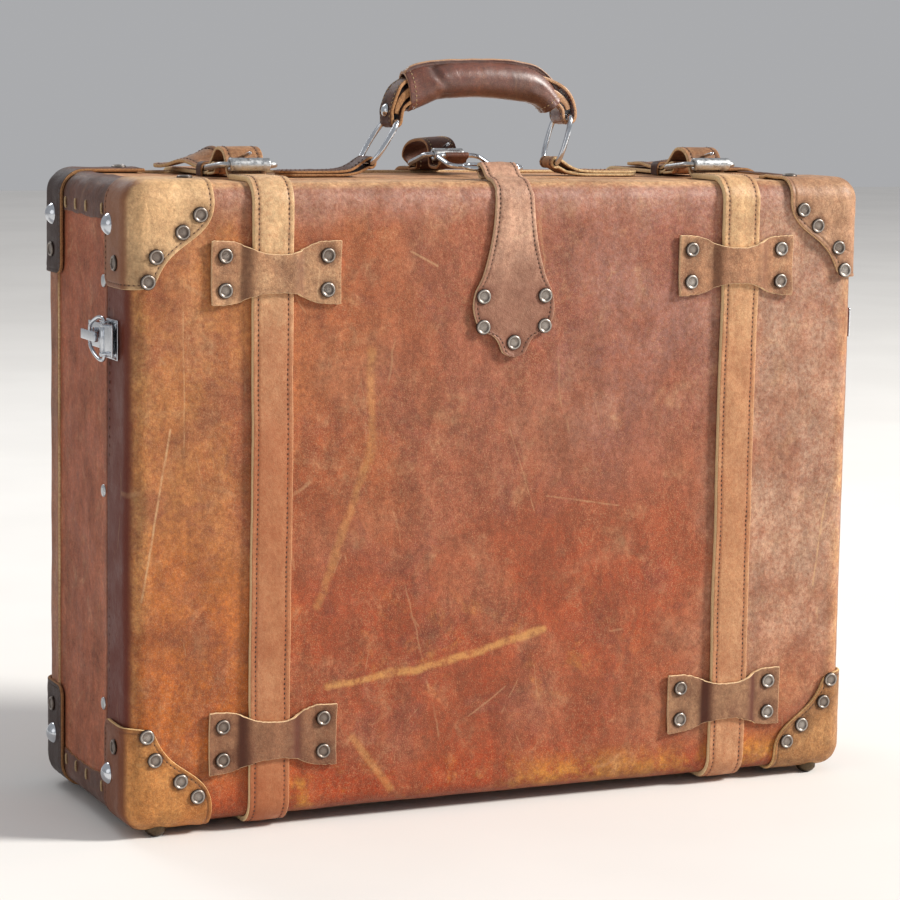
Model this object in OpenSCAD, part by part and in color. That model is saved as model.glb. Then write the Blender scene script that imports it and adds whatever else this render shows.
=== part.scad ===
// Leather suitcase with two long buckled straps, riveted corner guards, a
// centre hasp and a ring-hung handle.  The front shell is the lid: it is hinged
// along the bottom front seam and is held shut by two toggle latches.
// Frame: X to the right, Y to the back, Z up.  The origin is on the floor,
// midway between the ends and midway between front and back.

/* [Case] */
// Width of the case from end wall to end wall
case_w = 580; // [500:1:680]
// Height of the case without feet and handle
case_h = 452; // [400:1:520]
// Depth of the case from front panel to back panel
case_d = 196; // [180:1:240]
// Depth of the front shell, which is the lid
lid_d = 48; // [46:1:56]
// Radius of the outer edges of the case
edge_r = 15; // [13:1:17]
// Height of the four feet
foot_h = 7.5; // [7.2:0.1:9]
// Thickness of the leather that covers the case
cover_t = 2; // [1.5:0.1:3]
// Thickness of the board walls
board_t = 4.5; // [3:0.5:6]
// Thickness of the cloth lining
lining_t = 1; // [0.8:0.1:1.5]
// How far the leather wrap of the back stands proud of the cover
wrap_t = 1; // [0.6:0.1:1.2]
// How far the back wrap reaches round onto the walls
wrap_reach = 34; // [28:1:40]

/* [Straps] */
// Distance of each long strap from the middle of the case
strap_x = 186; // [170:1:200]
// Width of the long straps
strap_w = 30; // [26:1:32]
// How far the long straps stand out from the case
strap_t = 4; // [3.5:0.1:4.5]
// Thickness of the loose tail of a strap
tail_t = 2.6; // [2:0.1:3]
// Height of the upper strap keepers above the floor
keeper_high_z = 397; // [370:1:400]
// Height of the lower strap keepers above the floor
keeper_low_z = 66; // [60:1:90]

/* [Corner guards] */
// Thickness of the corner guards
guard_t = 2.5; // [2:0.1:3]
// Reach of a guard along the width of the case
guard_reach_x = 61; // [52:1:66]
// Reach of a guard down or up the height of the case
guard_reach_z = 73; // [66:1:78]
// Depth of the rear guards from the back panel
guard_rear_d = 46; // [40:1:50]

/* [Handle] */
// Distance of each handle ring's lower bar from the middle
ring_x = 75.8; // [72:0.1:80]
// Length of a handle ring between its bar centres
ring_len = 36.6; // [34:0.1:40]
// Width of a handle ring between its side centres
ring_wid = 32; // [30:0.5:36]
// Radius of the padded grip
grip_r = 14; // [12:0.5:15]

/* [Fittings] */
// Radius of the rivet heads
rivet_r = 5.5; // [4.5:0.1:6]
// Radius of the domed studs
stud_r = 7.8; // [7:0.1:8.5]
// Radius of the buckle rollers
roller_r = 4.8; // [4.2:0.1:5]
// Height of the toggle latches above the floor
latch_z = 350; // [300:1:355]

/* [Hidden] */
$fn = 48;

front_y = -case_d / 2;
back_y = case_d / 2;
seam_y = front_y + lid_d;
end_x = case_w / 2;
top_z = foot_h + case_h;
mid_z = foot_h + case_h / 2;
far = 800;               // longer than any side of the case
seam_gap = 0.3;          // half the gap between the lid and the case
clear = 0.4;             // running room between a wire and its leather loop
fit = 0.06;              // radial room of a metal pin in a metal bore
hinge_z = foot_h - 2.5;  // height of the lid's hinge pins
tan_leather = "#b8803f";
brown_leather = "#9a5a35";
dark_leather = "#6b3a2a";
steel = "#c9ccd2";
antique = "#8f887c";

// ---------------------------------------------------------------- shapes

module rounded_rect(w, h, r) {
  square([w - 2 * r, h], center = true);
  square([w, h - 2 * r], center = true);
  for (x = [-1, 1], y = [-1, 1])
    translate([x * (w / 2 - r), y * (h / 2 - r)]) circle(r);
}

// The rounded block of the whole case, grown by g on every side.
module envelope(g) {
  w = case_w + 2 * g;
  h = case_h + 2 * g;
  d = case_d + 2 * g;
  r = edge_r + g;
  translate([0, 0, mid_z]) intersection() {
    linear_extrude(h + 2, center = true) rounded_rect(w, d, r);
    rotate([90, 0, 0]) linear_extrude(d + 2, center = true) rounded_rect(w, h, r);
    rotate([90, 0, 90]) linear_extrude(w + 2, center = true) rounded_rect(d, h, r);
  }
}

// A layer of the envelope between two offsets.
module layer(outer, inner) {
  difference() {
    envelope(outer);
    envelope(inner);
  }
}

// Everything in front of the seam, and everything behind it.
module lid_side(gap = seam_gap) {
  translate([-far / 2, seam_y - gap - far, -far / 4]) cube([far, far, far]);
}

module case_side(gap = seam_gap) {
  translate([-far / 2, seam_y + gap, -far / 4]) cube([far, far, far]);
}

// Points on a cubic curve.
function curve_point(p, t) =
  pow(1 - t, 3) * p[0] + 3 * pow(1 - t, 2) * t * p[1]
  + 3 * (1 - t) * t * t * p[2] + t * t * t * p[3];
function curve(p, n) = [for (i = [0:n]) curve_point(p, i / n)];
function heading(pts, i) =
  let (a = pts[max(i - 1, 0)], b = pts[min(i + 1, len(pts) - 1)])
  (b - a) / norm(b - a);
function side_of(pts, i, s) =
  let (h = heading(pts, i)) pts[i] + s * [-h[1], h[0]];
// Outline of a strip of thickness t whose middle follows pts.
function strip(pts, t) = concat(
  [for (i = [0:len(pts) - 1]) side_of(pts, i, t / 2)],
  [for (i = [len(pts) - 1:-1:0]) side_of(pts, i, -t / 2)]);

// An outline drawn in Y and Z, made w wide in X about the middle.
module side_profile(w) {
  rotate([90, 0, 90]) linear_extrude(w, center = true) children();
}

// An outline drawn in X and Z, made w deep in Y about the middle.
module front_profile(w) {
  rotate([90, 0, 0]) linear_extrude(w, center = true) children();
}

// A round bar from p to q.
module bar(p, q, r) {
  v = q - p;
  flat = norm([v[0], v[1]]);
  translate(p) rotate([0, atan2(flat, v[2]), atan2(v[1], v[0])])
    cylinder(h = norm(v), r = r);
}

// A tube lying along X, centred on the origin.
module tube_x(len, outer, inner) {
  rotate([0, 90, 0]) difference() {
    cylinder(h = len, r = outer, center = true);
    cylinder(h = len + 2, r = inner, center = true);
  }
}

// A wire link in the XY plane: its first bar lies on the X axis, centred on
// the origin, and its second bar is len away along -Y.
module wire_link(len, wid, corner, r) {
  half = wid / 2;
  for (y = [0, -len])
    translate([0, y, 0]) rotate([0, 90, 0])
      cylinder(h = wid - 2 * corner, r = r, center = true);
  for (x = [-half, half])
    translate([x, -corner, 0]) rotate([90, 0, 0])
      cylinder(h = len - 2 * corner, r = r);
  corners = [[1, 0, 0], [-1, 0, 90], [-1, 1, 180], [1, 1, 270]];
  for (c = corners)
    translate([c[0] * (half - corner), c[1] == 0 ? -corner : corner - len, 0])
      rotate([0, 0, c[2]]) rotate_extrude(angle = 90)
        translate([corner, 0]) circle(r);
}

// ---------------------------------------------------------------- shells

module shell_layer(outer, inner, is_lid) {
  intersection() {
    layer(outer, inner);
    if (is_lid) lid_side(); else case_side();
  }
}

board_in = -cover_t - board_t;
lining_in = board_in - lining_t;

module lid_board() color("#b79a6a") shell_layer(-cover_t, board_in, true);
module case_board() color("#b79a6a") shell_layer(-cover_t, board_in, false);
module lid_lining() color("#c8b48a") shell_layer(board_in, lining_in, true);
module case_lining() color("#c8b48a") shell_layer(board_in, lining_in, false);
module lid_cover() color(brown_leather) shell_layer(0, -cover_t, true);
module case_cover() color(brown_leather) shell_layer(0, -cover_t, false);

module back_wrap() color(brown_leather) intersection() {
  layer(wrap_t, 0);
  translate([-far / 2, back_y - wrap_reach, -far / 4]) cube([far, far, far]);
}

lip_gap = 0.9;    // room between the lip and the lid's lining
lip_t = 1.8;      // thickness of the lip
lip_reach = 9;    // how far the lip stands into the lid
lip_root = 14;    // how far back the lip is glued to the lining

module closing_lip() color(tan_leather) difference() {
  lip_out = lining_in - lip_gap;
  union() {
    intersection() {
      envelope(lining_in);
      translate([-far / 2, seam_y + seam_gap, -far / 4])
        cube([far, lip_root, far]);
    }
    intersection() {
      envelope(lip_out);
      translate([-far / 2, seam_y - lip_reach, -far / 4])
        cube([far, lip_reach + 1, far]);
    }
  }
  translate([0, 0, mid_z]) front_profile(far) {
    inner = lip_out - lip_t;
    rounded_rect(case_w + 2 * inner, case_h + 2 * inner, edge_r + inner);
  }
}

flap_t = 1.2;     // thickness of the folded leather on the end walls
flap_z = 27;      // how far it reaches down or up an end wall
flap_x = 22;      // how far it reaches in over the top or bottom

module end_flaps() color(dark_leather) intersection() {
  layer(flap_t, 0);
  y0 = seam_y + 1;
  y1 = back_y - guard_rear_d - 1;
  for (x = [-1, 1], z = [-1, 1])
    translate([x * (end_x + 10 - (flap_x + 10) / 2), (y0 + y1) / 2,
      mid_z + z * (case_h / 2 + 10 - (flap_z + 10) / 2)])
      cube([flap_x + 10, y1 - y0, flap_z + 10], center = true);
}

// ---------------------------------------------------------------- rivets

rivet_h = 1.6;    // height of a rivet head
shank_r = 1.5;    // radius of a rivet shank

// A rivet whose head stands on the plane z = 0, through leather of depth t.
module rivet(t, r = rivet_r) {
  cylinder(h = rivet_h, r = r);
  translate([0, 0, -t]) cylinder(h = t + 0.5, r = shank_r);
}

module shank_hole(t) {
  translate([0, 0, -t - 1]) cylinder(h = t + 2, r = shank_r);
}

// Turns a child whose axis is +Z to face forward (dir -1) or back (dir 1).
module facing_y(dir) rotate([dir < 0 ? 90 : -90, 0, 0]) children();
// Turns a child whose axis is +Z to face left (dir -1) or right (dir 1).
module facing_x(dir) rotate([0, dir < 0 ? -90 : 90, 0]) children();

// ---------------------------------------------------------------- keepers

keeper_t = 2.6;        // leather of a keeper
keeper_w = 96;         // overall width of a keeper
keeper_end_h = 44;     // height of its ends
keeper_waist_h = 27;   // height of its waist
keeper_rivet_x = 38;   // rivets' distance from its middle
keeper_rivet_z = 12;   // rivets' height above and below its middle
keeper_room = 0.3;     // room between a keeper and its strap
strap_shift = 3;       // strap's distance from the keeper's middle
keeper_x = strap_x - strap_shift;

// Bent section of a keeper that rises by lift over the strap, in X and
// distance out from the case.
function keeper_path(out, lift) =
  let (a = strap_shift - strap_w / 2 - 1.5, b = strap_shift + strap_w / 2 + 1.5)
  [[-keeper_w / 2, out], [a - 5, out], [a, lift + out],
    [b, lift + out], [b + 5, out], [keeper_w / 2, out]];

// Bow-tie outline of a keeper, seen from the front.
module bow_tie() {
  e = keeper_end_h / 2;
  w = keeper_waist_h / 2;
  h = keeper_w / 2;
  upper = concat(
    curve([[-h + 18, e], [-h + 30, e - 1], [-18, w], [0, w]], 8),
    curve([[0, w], [18, w], [h - 30, e - 1], [h - 18, e]], 8),
    [[h, e + 0.5]]);
  polygon(concat([[-h, e + 0.5]], upper,
    [for (i = [len(upper) - 1:-1:0]) [upper[i][0], -upper[i][1]]],
    [[-h, -e - 0.5]]));
}

// A keeper standing on the plane z = 0, with its length along X.
module keeper_leather(lift) difference() {
  intersection() {
    rotate([90, 0, 0]) linear_extrude(keeper_end_h + 4, center = true)
      polygon(strip(keeper_path(keeper_t / 2, lift), keeper_t));
    linear_extrude(20) bow_tie();
  }
  for (x = [-1, 1], z = [-1, 1])
    translate([x * keeper_rivet_x, z * keeper_rivet_z, keeper_t])
      shank_hole(keeper_t);
}

module keeper_rivet_set() {
  for (x = [-1, 1], z = [-1, 1])
    translate([x * keeper_rivet_x, z * keeper_rivet_z, keeper_t])
      rivet(keeper_t);
}

// Puts children at one side's upper and lower keepers, on the front or back.
module at_keepers(side, dir) {
  plane = dir < 0 ? front_y : back_y + wrap_t;
  for (z = [keeper_low_z, keeper_high_z])
    translate([side * keeper_x, plane, z]) mirror([side < 0 ? 1 : 0, 0, 0])
      facing_y(dir) children();
}

module keepers_front() color(brown_leather)
  for (side = [-1, 1]) at_keepers(side, -1)
    keeper_leather(strap_t + keeper_room);
module keepers_rear() color(brown_leather)
  for (side = [-1, 1]) at_keepers(side, 1)
    keeper_leather(strap_t - wrap_t + keeper_room);

// ---------------------------------------------------------------- guards

// Curved edge of a guard: distance in from the end wall, distance down.
guard_edge = [[guard_reach_x, 9], [guard_reach_x + 2, 44],
  [26, 36], [17, guard_reach_z]];
guard_rivet_inset = 8.5;                  // rivets' distance in from the edge
guard_rivet_steps = [0.2, 0.51, 0.8, 0.97];

function guard_rivet(t) =
  let (a = curve_point(guard_edge, t - 0.02),
    b = curve_point(guard_edge, t + 0.02), h = (b - a) / norm(b - a))
  curve_point(guard_edge, t) + guard_rivet_inset * [-h[1], h[0]];
// Its place on the guard, kept on the flat of the panel.
function on_guard(t) = let (p = guard_rivet(t)) [max(p[0], edge_r - 2), p[1]];

// Outline of a guard about its corner, x inwards and y towards the middle.
module guard_outline() polygon(concat(
  [[-8, -8], [guard_reach_x, -8]], curve(guard_edge, 20),
  [[-8, guard_reach_z]]));

// Puts children, drawn inwards from a corner, at the corner's place.
module at_corner(side, up) {
  translate([side * end_x, 0, up > 0 ? top_z : foot_h])
    mirror([side > 0 ? 1 : 0, 0, 0]) mirror([0, 0, up > 0 ? 1 : 0]) children();
}

module guard_rivet_places(side, up, dir) {
  plane = dir < 0 ? front_y - guard_t : back_y + wrap_t + guard_t;
  for (t = guard_rivet_steps)
    at_corner(side, up) translate([on_guard(t)[0], plane, on_guard(t)[1]])
      facing_y(dir) children();
}

edge_rivet_d = 24;     // depth of the rivets on a guard's top and end
edge_rivet_in = 48;    // their distance from the corner

module guard_edge_places(side, up, dir) {
  y = dir < 0 ? front_y + edge_rivet_d : back_y - edge_rivet_d;
  out = dir < 0 ? guard_t : guard_t + wrap_t;
  at_corner(side, up) {
    translate([edge_rivet_in, y, -out]) rotate([180, 0, 0]) children();
    translate([-out, y, edge_rivet_in + 8]) facing_x(-1) children();
  }
}

module guard_front(side, up) color(tan_leather) difference() {
  intersection() {
    shell_layer(guard_t, 0, true);
    at_corner(side, up) front_profile(far) guard_outline();
  }
  guard_rivet_places(side, up, -1) shank_hole(guard_t);
  guard_edge_places(side, up, -1) shank_hole(guard_t);
}

module guards_rear(side) color(dark_leather)
  for (up = [-1, 1]) difference() {
    intersection() {
      layer(wrap_t + guard_t, wrap_t);
      at_corner(side, up) front_profile(far) guard_outline();
      translate([-far / 2, back_y - guard_rear_d, -far / 4])
        cube([far, far, far]);
    }
    guard_rivet_places(side, up, 1) shank_hole(guard_t);
    guard_edge_places(side, up, 1) shank_hole(guard_t);
  }

// ---------------------------------------------------------------- straps

hinge_slack = 3;       // half the gap of a strap where it passes the hinge

// A strap that follows the case round one side of the seam.
module case_strap(side, is_lid) {
  under = is_lid ? 0 : wrap_t;
  translate([side * strap_x, 0, mid_z]) side_profile(strap_w) difference() {
    rounded_rect(case_d + 2 * strap_t, case_h + 2 * strap_t, edge_r + strap_t);
    rounded_rect(case_d + 2 * under, case_h + 2 * under, edge_r + under);
    translate([is_lid ? seam_y - seam_gap : seam_y + hinge_slack - far, -far / 2])
      square([far, far]);
    translate([seam_y - hinge_slack, -far]) square([2 * hinge_slack, far]);
  }
}

module strap_front(side) color(tan_leather) case_strap(side, true);

buckle_bar_r = 2;          // wire of the buckle frames
heel_y = -17;              // heel bar of a long strap's buckle
heel_h = 7;                // its height above the case
front_bar_y = -51;         // bar that carries the roller
front_bar_h = 10.5;        // its height above the case
fold_r = 5.2;              // outside of a strap folded round a bar
fold_under = 1.4;          // rise of the folded leather's lower edge at the bar
fold_slope = 12;           // distance over which it comes down to the strap
prong_slot = 6.4;          // slot for the prong in a folded strap

// The end of a strap folded round a bar at (y, h), reaching back to y_end.
module folded_end(x, y, h, y_end, w) {
  translate([x, 0, top_z]) difference() {
    side_profile(w) difference() {
      union() {
        translate([y, h]) circle(fold_r);
        polygon([[y - 2, fold_under + wrap_t], [y + fold_r, wrap_t], [y_end, wrap_t],
          [y_end, strap_t], [y + fold_slope, strap_t], [y + 3, h + fold_r - 1]]);
      }
      translate([y, h]) circle(buckle_bar_r + clear);
    }
    translate([0, y, 0]) cube([prong_slot, 2 * fold_r + 3, far], center = true);
  }
}

module strap_rear(side) color(tan_leather) {
  difference() {
    case_strap(side, false);
    translate([side * strap_x - far / 2, -far, top_z - 40])
      cube([far, far + heel_y + fold_r, far]);
  }
  folded_end(side * strap_x, heel_y, heel_h, heel_y + 14, strap_w);
}

// A loose tail goes under the roller, over the heel bar, then flat on the strap.
tail_flat = strap_t + tail_t / 2 + 0.2;
tail_path = concat(
  curve([[seam_y + seam_gap, 2], [-38, 2], [-44, 20], [-27, 21]], 12),
  curve([[-26, 21.2], [-17, 22], [-11, tail_flat], [4, tail_flat]], 12),
  [[78, tail_flat]]);

module strap_tail(side) color(tan_leather)
  translate([side * strap_x, 0, top_z]) difference() {
    side_profile(strap_w) polygon(strip(tail_path, tail_t));
    translate([0, (heel_y + front_bar_y) / 2 - 2, 0])
      cube([prong_slot, heel_y - front_bar_y - 4, far], center = true);
  }

loop_y = 6;            // middle of the keeper loop on the case's top
loop_w = 10;           // width of the loop along the strap
loop_t = 2.2;          // leather of the loop

module strap_loops() color(dark_leather)
  for (side = [-1, 1]) translate([side * strap_x, loop_y, top_z]) {
    inner_h = tail_flat + tail_t / 2 + 0.4;
    inner_w = strap_w + 0.8;
    side_w = inner_w + 2 * loop_t;
    difference() {
      translate([-side_w / 2, -loop_w / 2, 0])
        cube([side_w, loop_w, inner_h + loop_t]);
      translate([-inner_w / 2, -loop_w, -1]) cube([inner_w, 2 * loop_w, inner_h + 1]);
    }
  }

// ---------------------------------------------------------------- buckles

frame_w = 42;          // width of a long strap's buckle between wire centres
clasp_w = 36;          // width of the clasp's buckle
clasp_heel_y = 54;
clasp_front_y = 22;
clasp_front_h = 15;

// A buckle frame whose heel bar is at (y0, h0) and front bar at (y1, h1).
module buckle_frame(x, y0, h0, y1, h1, w) {
  translate([x, y0, top_z + h0]) rotate([-atan2(h1 - h0, y0 - y1), 0, 0])
    wire_link(norm([y1 - y0, h1 - h0]), w, 5, buckle_bar_r);
}

module buckle_roller(x, y, h, len) {
  translate([x, y, top_z + h]) tube_x(len, roller_r, buckle_bar_r + fit);
}

prong_r = 1.4;             // wire of the prongs
prong_eye_r = 4;           // outside of the eye that turns on the heel bar
prong_eye_w = 5;           // width of the eye
prong_lift = 1.3;          // room between a prong's tip and its roller
prong_past = 4;            // how far a prong reaches past its roller's bar

// A prong that turns on the heel bar and rests just over the roller.
module buckle_prong(x, y0, h0, y1, h1) {
  tip_h = h1 + roller_r + 2 * prong_r + prong_lift;
  translate([x, 0, top_z]) difference() {
    union() {
      translate([0, y0, h0]) rotate([0, 90, 0])
        cylinder(h = prong_eye_w, r = prong_eye_r, center = true);
      bar([0, y0 - 1, h0 + prong_eye_r / 2], [0, y1 - prong_past, tip_h], prong_r);
    }
    translate([0, y0, h0]) rotate([0, 90, 0])
      cylinder(h = prong_eye_w + 2, r = buckle_bar_r + clear, center = true);
  }
}

module long_frame(side) color(steel)
  buckle_frame(side * strap_x, heel_y, heel_h, front_bar_y, front_bar_h, frame_w);
module long_prong(side) color(steel)
  buckle_prong(side * strap_x, heel_y, heel_h, front_bar_y, front_bar_h);
module long_roller(side) color(steel)
  buckle_roller(side * strap_x, front_bar_y, front_bar_h, 30);

// ---------------------------------------------------------------- hasp and clasp

tab_t = 2.6;           // leather of the hasp tab
tab_neck = 14.5;       // half its width at the top
tab_wide = 33;         // half its width at its widest
tab_len = 125;         // its length down the front
hasp_bar_y = -66;      // bar of the hasp ring held by the tab
hasp_bar_h = 8;
link_wire_r = 1.8;
hasp_ring_len = 15;
clasp_bar_y = 5;       // bar of the clasp ring held by the billet
clasp_bar_h = 15;
clasp_ring_len = 29;

tab_side = concat(
  curve([[tab_neck, 30], [tab_neck, -20], [tab_neck + 1, -40],
    [tab_wide - 8, -68]], 10),
  curve([[tab_wide - 5, -74], [tab_wide + 2, -84], [tab_wide, -96],
    [tab_wide - 6, -105]], 8),
  curve([[tab_wide - 9, -108], [16, -110], [12, -122], [0, -tab_len]], 8));

// Outline of the hasp tab, from the case's top edge down.
module tab_outline() polygon(concat(tab_side,
  [for (i = [len(tab_side) - 2:-1:0]) [-tab_side[i][0], tab_side[i][1]]]));

tab_rivets = [[-24.5, -82], [24.5, -82], [-24.5, -104], [24.5, -104], [0, -115.5]];

module at_tab_rivets()
  for (p = tab_rivets)
    translate([p[0], front_y - tab_t, top_z + p[1]]) facing_y(-1) children();

module hasp_tab() color(brown_leather) {
  difference() {
    intersection() {
      layer(tab_t, 0);
      translate([0, 0, top_z]) front_profile(far) tab_outline();
      translate([-far / 2, front_y - 20, 0]) cube([far, hasp_bar_y - front_y + 20, far]);
    }
    at_tab_rivets() shank_hole(tab_t);
  }
  translate([0, 0, top_z]) side_profile(2 * tab_neck) difference() {
    union() {
      translate([hasp_bar_y, hasp_bar_h]) circle(link_wire_r + clear + tab_t);
      polygon([[hasp_bar_y - 9, 0], [hasp_bar_y + 4, 0],
        [hasp_bar_y + 4, hasp_bar_h], [hasp_bar_y - 4, hasp_bar_h]]);
    }
    translate([hasp_bar_y, hasp_bar_h]) circle(link_wire_r + clear);
  }
}

// A wire link that hangs on a bar at (y, h) and tilts by a degrees.
module top_link(y, h, len, wid, a) {
  translate([0, y, top_z + h]) rotate([a, 0, 0])
    wire_link(len, wid, 6.5, link_wire_r);
}

module hasp_ring() color(steel)
  translate([0, hasp_bar_y, top_z + hasp_bar_h]) rotate([8, 0, 0])
    mirror([0, 1, 0]) wire_link(hasp_ring_len, 43, 6.5, link_wire_r);

module clasp_ring() color(steel)
  top_link(clasp_bar_y, clasp_bar_h, clasp_ring_len, 34, 14);

clasp_strap_w = 26;
module clasp_strap() color(dark_leather) {
  difference() {
    translate([0, 0, mid_z]) side_profile(clasp_strap_w) difference() {
      rounded_rect(case_d + 2 * strap_t, case_h + 2 * strap_t, edge_r + strap_t);
      rounded_rect(case_d + 2 * wrap_t, case_h + 2 * wrap_t, edge_r + wrap_t);
    }
    translate([-far / 2, -far / 2, -far / 2]) cube([far, far, far / 2 + top_z - 70]);
    translate([-far / 2, clasp_heel_y + fold_r - far, -far / 2])
      cube([far, far, 2 * far]);
    at_clasp_rivets() shank_hole(strap_t);
  }
  folded_end(0, clasp_heel_y, heel_h, clasp_heel_y + 14, clasp_strap_w);
}

module at_clasp_rivets()
  for (z = [-42, -58])
    translate([0, back_y + strap_t, top_z + z]) facing_y(1) children();

billet_w = 24;
billet_path = concat(
  curve([[clasp_bar_y + 3.6, 13], [12, 5], [18, 5.5], [26, 5.5]], 8),
  curve([[28, 5.6], [36, 7], [24, 26], [48, 26]], 12),
  curve([[50, 26], [72, 26], [84, 20], [80, tail_flat]], 10));

// Leather that joins the clasp ring to its buckle and curls over behind it.
module clasp_billet() color(dark_leather)
  translate([0, 0, top_z]) {
    difference() {
      side_profile(billet_w) polygon(strip(billet_path, tail_t));
      translate([0, (clasp_heel_y + clasp_front_y) / 2 - 2, 0])
        cube([prong_slot, clasp_heel_y - clasp_front_y, far], center = true);
      translate([0, clasp_bar_y, clasp_bar_h]) rotate([0, 90, 0])
        cylinder(h = far, r = link_wire_r + clear, center = true);
    }
    translate([0, clasp_bar_y, clasp_bar_h])
      tube_x(18, link_wire_r + clear + 2.2, link_wire_r + clear);
  }

module clasp_frame() color(steel)
  buckle_frame(0, clasp_heel_y, heel_h, clasp_front_y, clasp_front_h, clasp_w);
module clasp_prong() color(steel)
  buckle_prong(0, clasp_heel_y, heel_h, clasp_front_y, clasp_front_h);
module clasp_roller() color(steel)
  buckle_roller(0, clasp_front_y, clasp_front_h, 24);

// ---------------------------------------------------------------- handle

ring_lean_left = 33;       // lean of the left ring towards the right, in degrees
ring_lean_right = 16;      // lean of the right ring, set by the handle's length
ring_bar_h = 10;           // height of the rings' lower bars above the case
ring_wire_r = 2;
loop_width = 22;           // leather folded round a ring, along the bar
pull_room = 1.9;           // room in the right loop for the linkage's error
chape_end = 146;           // outer end of the leather that holds a ring
chape_w = 27;              // its width
chape_t = 4.5;             // its two thicknesses of leather
chape_neck = 12;           // distance from the ring to where it widens
chape_tip = 7;             // radius of its rounded outer end
left_top = [-ring_x + ring_len * sin(ring_lean_left),
  ring_bar_h + ring_len * cos(ring_lean_left)];
right_top = [ring_x + ring_len * sin(ring_lean_right),
  ring_bar_h + ring_len * cos(ring_lean_right)];
grip_mid = [21, 72];       // middle of the grip, in X and above the case
grip_straight = 41;        // half the straight length of the grip
grip_bend_r = 38;          // radius of its drooping ends
grip_bend = 38;            // their angle
handle_strap_t = 6;        // two thicknesses of leather
grip_end = grip_mid + [grip_straight + grip_bend_r * sin(grip_bend),
  -grip_bend_r * (1 - cos(grip_bend))];

module handle_ring(side, lean) color(steel)
  translate([side * ring_x, 0, top_z + ring_bar_h]) rotate([0, lean, 0])
    rotate([-90, 0, 90]) wire_link(ring_len, ring_wid, 6, ring_wire_r);

module chape(side) color(brown_leather)
  translate([0, 0, top_z]) mirror([side < 0 ? 1 : 0, 0, 0]) {
    front_profile(loop_width) difference() {
      union() {
        translate([ring_x, ring_bar_h]) circle(fold_r);
        polygon([[ring_x - 2, fold_r], [ring_x + 6, 0], [ring_x + chape_neck + 8, 0],
          [ring_x + chape_neck + 8, chape_t], [ring_x + chape_neck + 2, chape_t + 0.5],
          [ring_x + 3, ring_bar_h + fold_r - 1.2]]);
      }
      translate([ring_x, ring_bar_h]) circle(ring_wire_r + clear);
    }
    intersection() {
      translate([ring_x + chape_neck, -chape_w / 2, 0])
        cube([chape_end - ring_x - chape_neck, chape_w, chape_t]);
      translate([ring_x + chape_neck, 0, -1]) linear_extrude(chape_t + 2) union() {
        body = chape_end - ring_x - chape_neck - chape_tip;
        translate([0, -chape_w / 2]) square([body, chape_w]);
        translate([body, 0]) circle(chape_tip);
        translate([0, -chape_tip]) square([body + chape_tip, 2 * chape_tip]);
      }
    }
  }

module grip() color(brown_leather)
  translate([grip_mid[0], 0, top_z + grip_mid[1]]) {
    rotate([0, 90, 0])
      cylinder(h = 2 * grip_straight + 1, r = grip_r, center = true);
    for (side = [-1, 1])
      translate([side * grip_straight, 0, -grip_bend_r])
        rotate([90, 0, 0]) rotate([0, 0, side > 0 ? 90 - grip_bend : 90])
          rotate_extrude(angle = grip_bend)
            translate([grip_bend_r, 0]) circle(grip_r - 0.2);
  }

// One end of the handle strap, from inside the grip to the ring's upper bar.
function strap_end(side, top) = curve([
  [grip_mid[0] + side * (grip_straight + 6), grip_mid[1] - 1],
  [side > 0 ? grip_end[0] + 9 : 2 * grip_mid[0] - grip_end[0] - 9, 61],
  [top[0] + side * 2, top[1] + 14], [top[0] + side * 1, top[1] + 3]], 10);

// A round bar along Y through the point p, given in X and height over the case.
module cross_bar(p, r, w)
  translate([p[0], 0, p[1]]) rotate([90, 0, 0]) cylinder(h = w, r = r, center = true);

module handle_strap() color(dark_leather) translate([0, 0, top_z]) difference() {
  left = strap_end(-1, left_top);
  right = strap_end(1, right_top);
  turned = [for (i = [len(left) - 1:-1:0]) left[i]];
  union() {
    front_profile(loop_width) polygon(strip(concat(turned, right), handle_strap_t));
    cross_bar(left_top, fold_r + 0.4, loop_width);
    cross_bar(right_top, ring_wire_r + pull_room + 2.8, loop_width);
  }
  cross_bar(left_top, ring_wire_r + clear, far);
  cross_bar(right_top, ring_wire_r + pull_room, far);
}

handle_rivet_r = 4;        // radius of its head
rivet_at = 7;              // the point of a strap end that its rivet goes through

// One rivet through each end of the handle strap, its head on the outer face.
module handle_rivets() color(antique)
  for (end = [[-1, left_top], [1, right_top]]) {
    pts = strap_end(end[0], end[1]);
    way = heading(pts, rivet_at);
    out = end[0] * [-way[1], way[0]];
    p = pts[rivet_at];
    foot = p - out * (handle_strap_t / 2 - 1);
    head = p + out * handle_strap_t / 2;
    tip = head + out * rivet_h;
    bar([foot[0], 0, top_z + foot[1]], [head[0], 0, top_z + head[1]], shank_r);
    bar([head[0], 0, top_z + head[1]], [tip[0], 0, top_z + tip[1]], handle_rivet_r);
  }

// ---------------------------------------------------------------- studs and feet

stud_dome = 5;         // height of a stud's dome
foot_r = 7.5;
foot_in = 24;          // feet's distance in from an end wall
foot_d = 12;           // feet's distance in from the front or back panel

// A dome of radius r and height h on the plane z = 0.
module dome(r, h) {
  ball = (r * r + h * h) / (2 * h);
  intersection() {
    translate([0, 0, h - ball]) sphere(ball);
    cylinder(h = h + 1, r = r);
  }
}

module studs(y, out) color(steel)
  for (side = [-1, 1], z = [foot_h + 34, top_z - 30])
    translate([side * (end_x + out), y, z]) facing_x(side) dome(stud_r, stud_dome);

foot_dome = 4;         // height of a foot's dome
foot_flat = 0.6;       // how much of the dome is cut off flat

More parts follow.
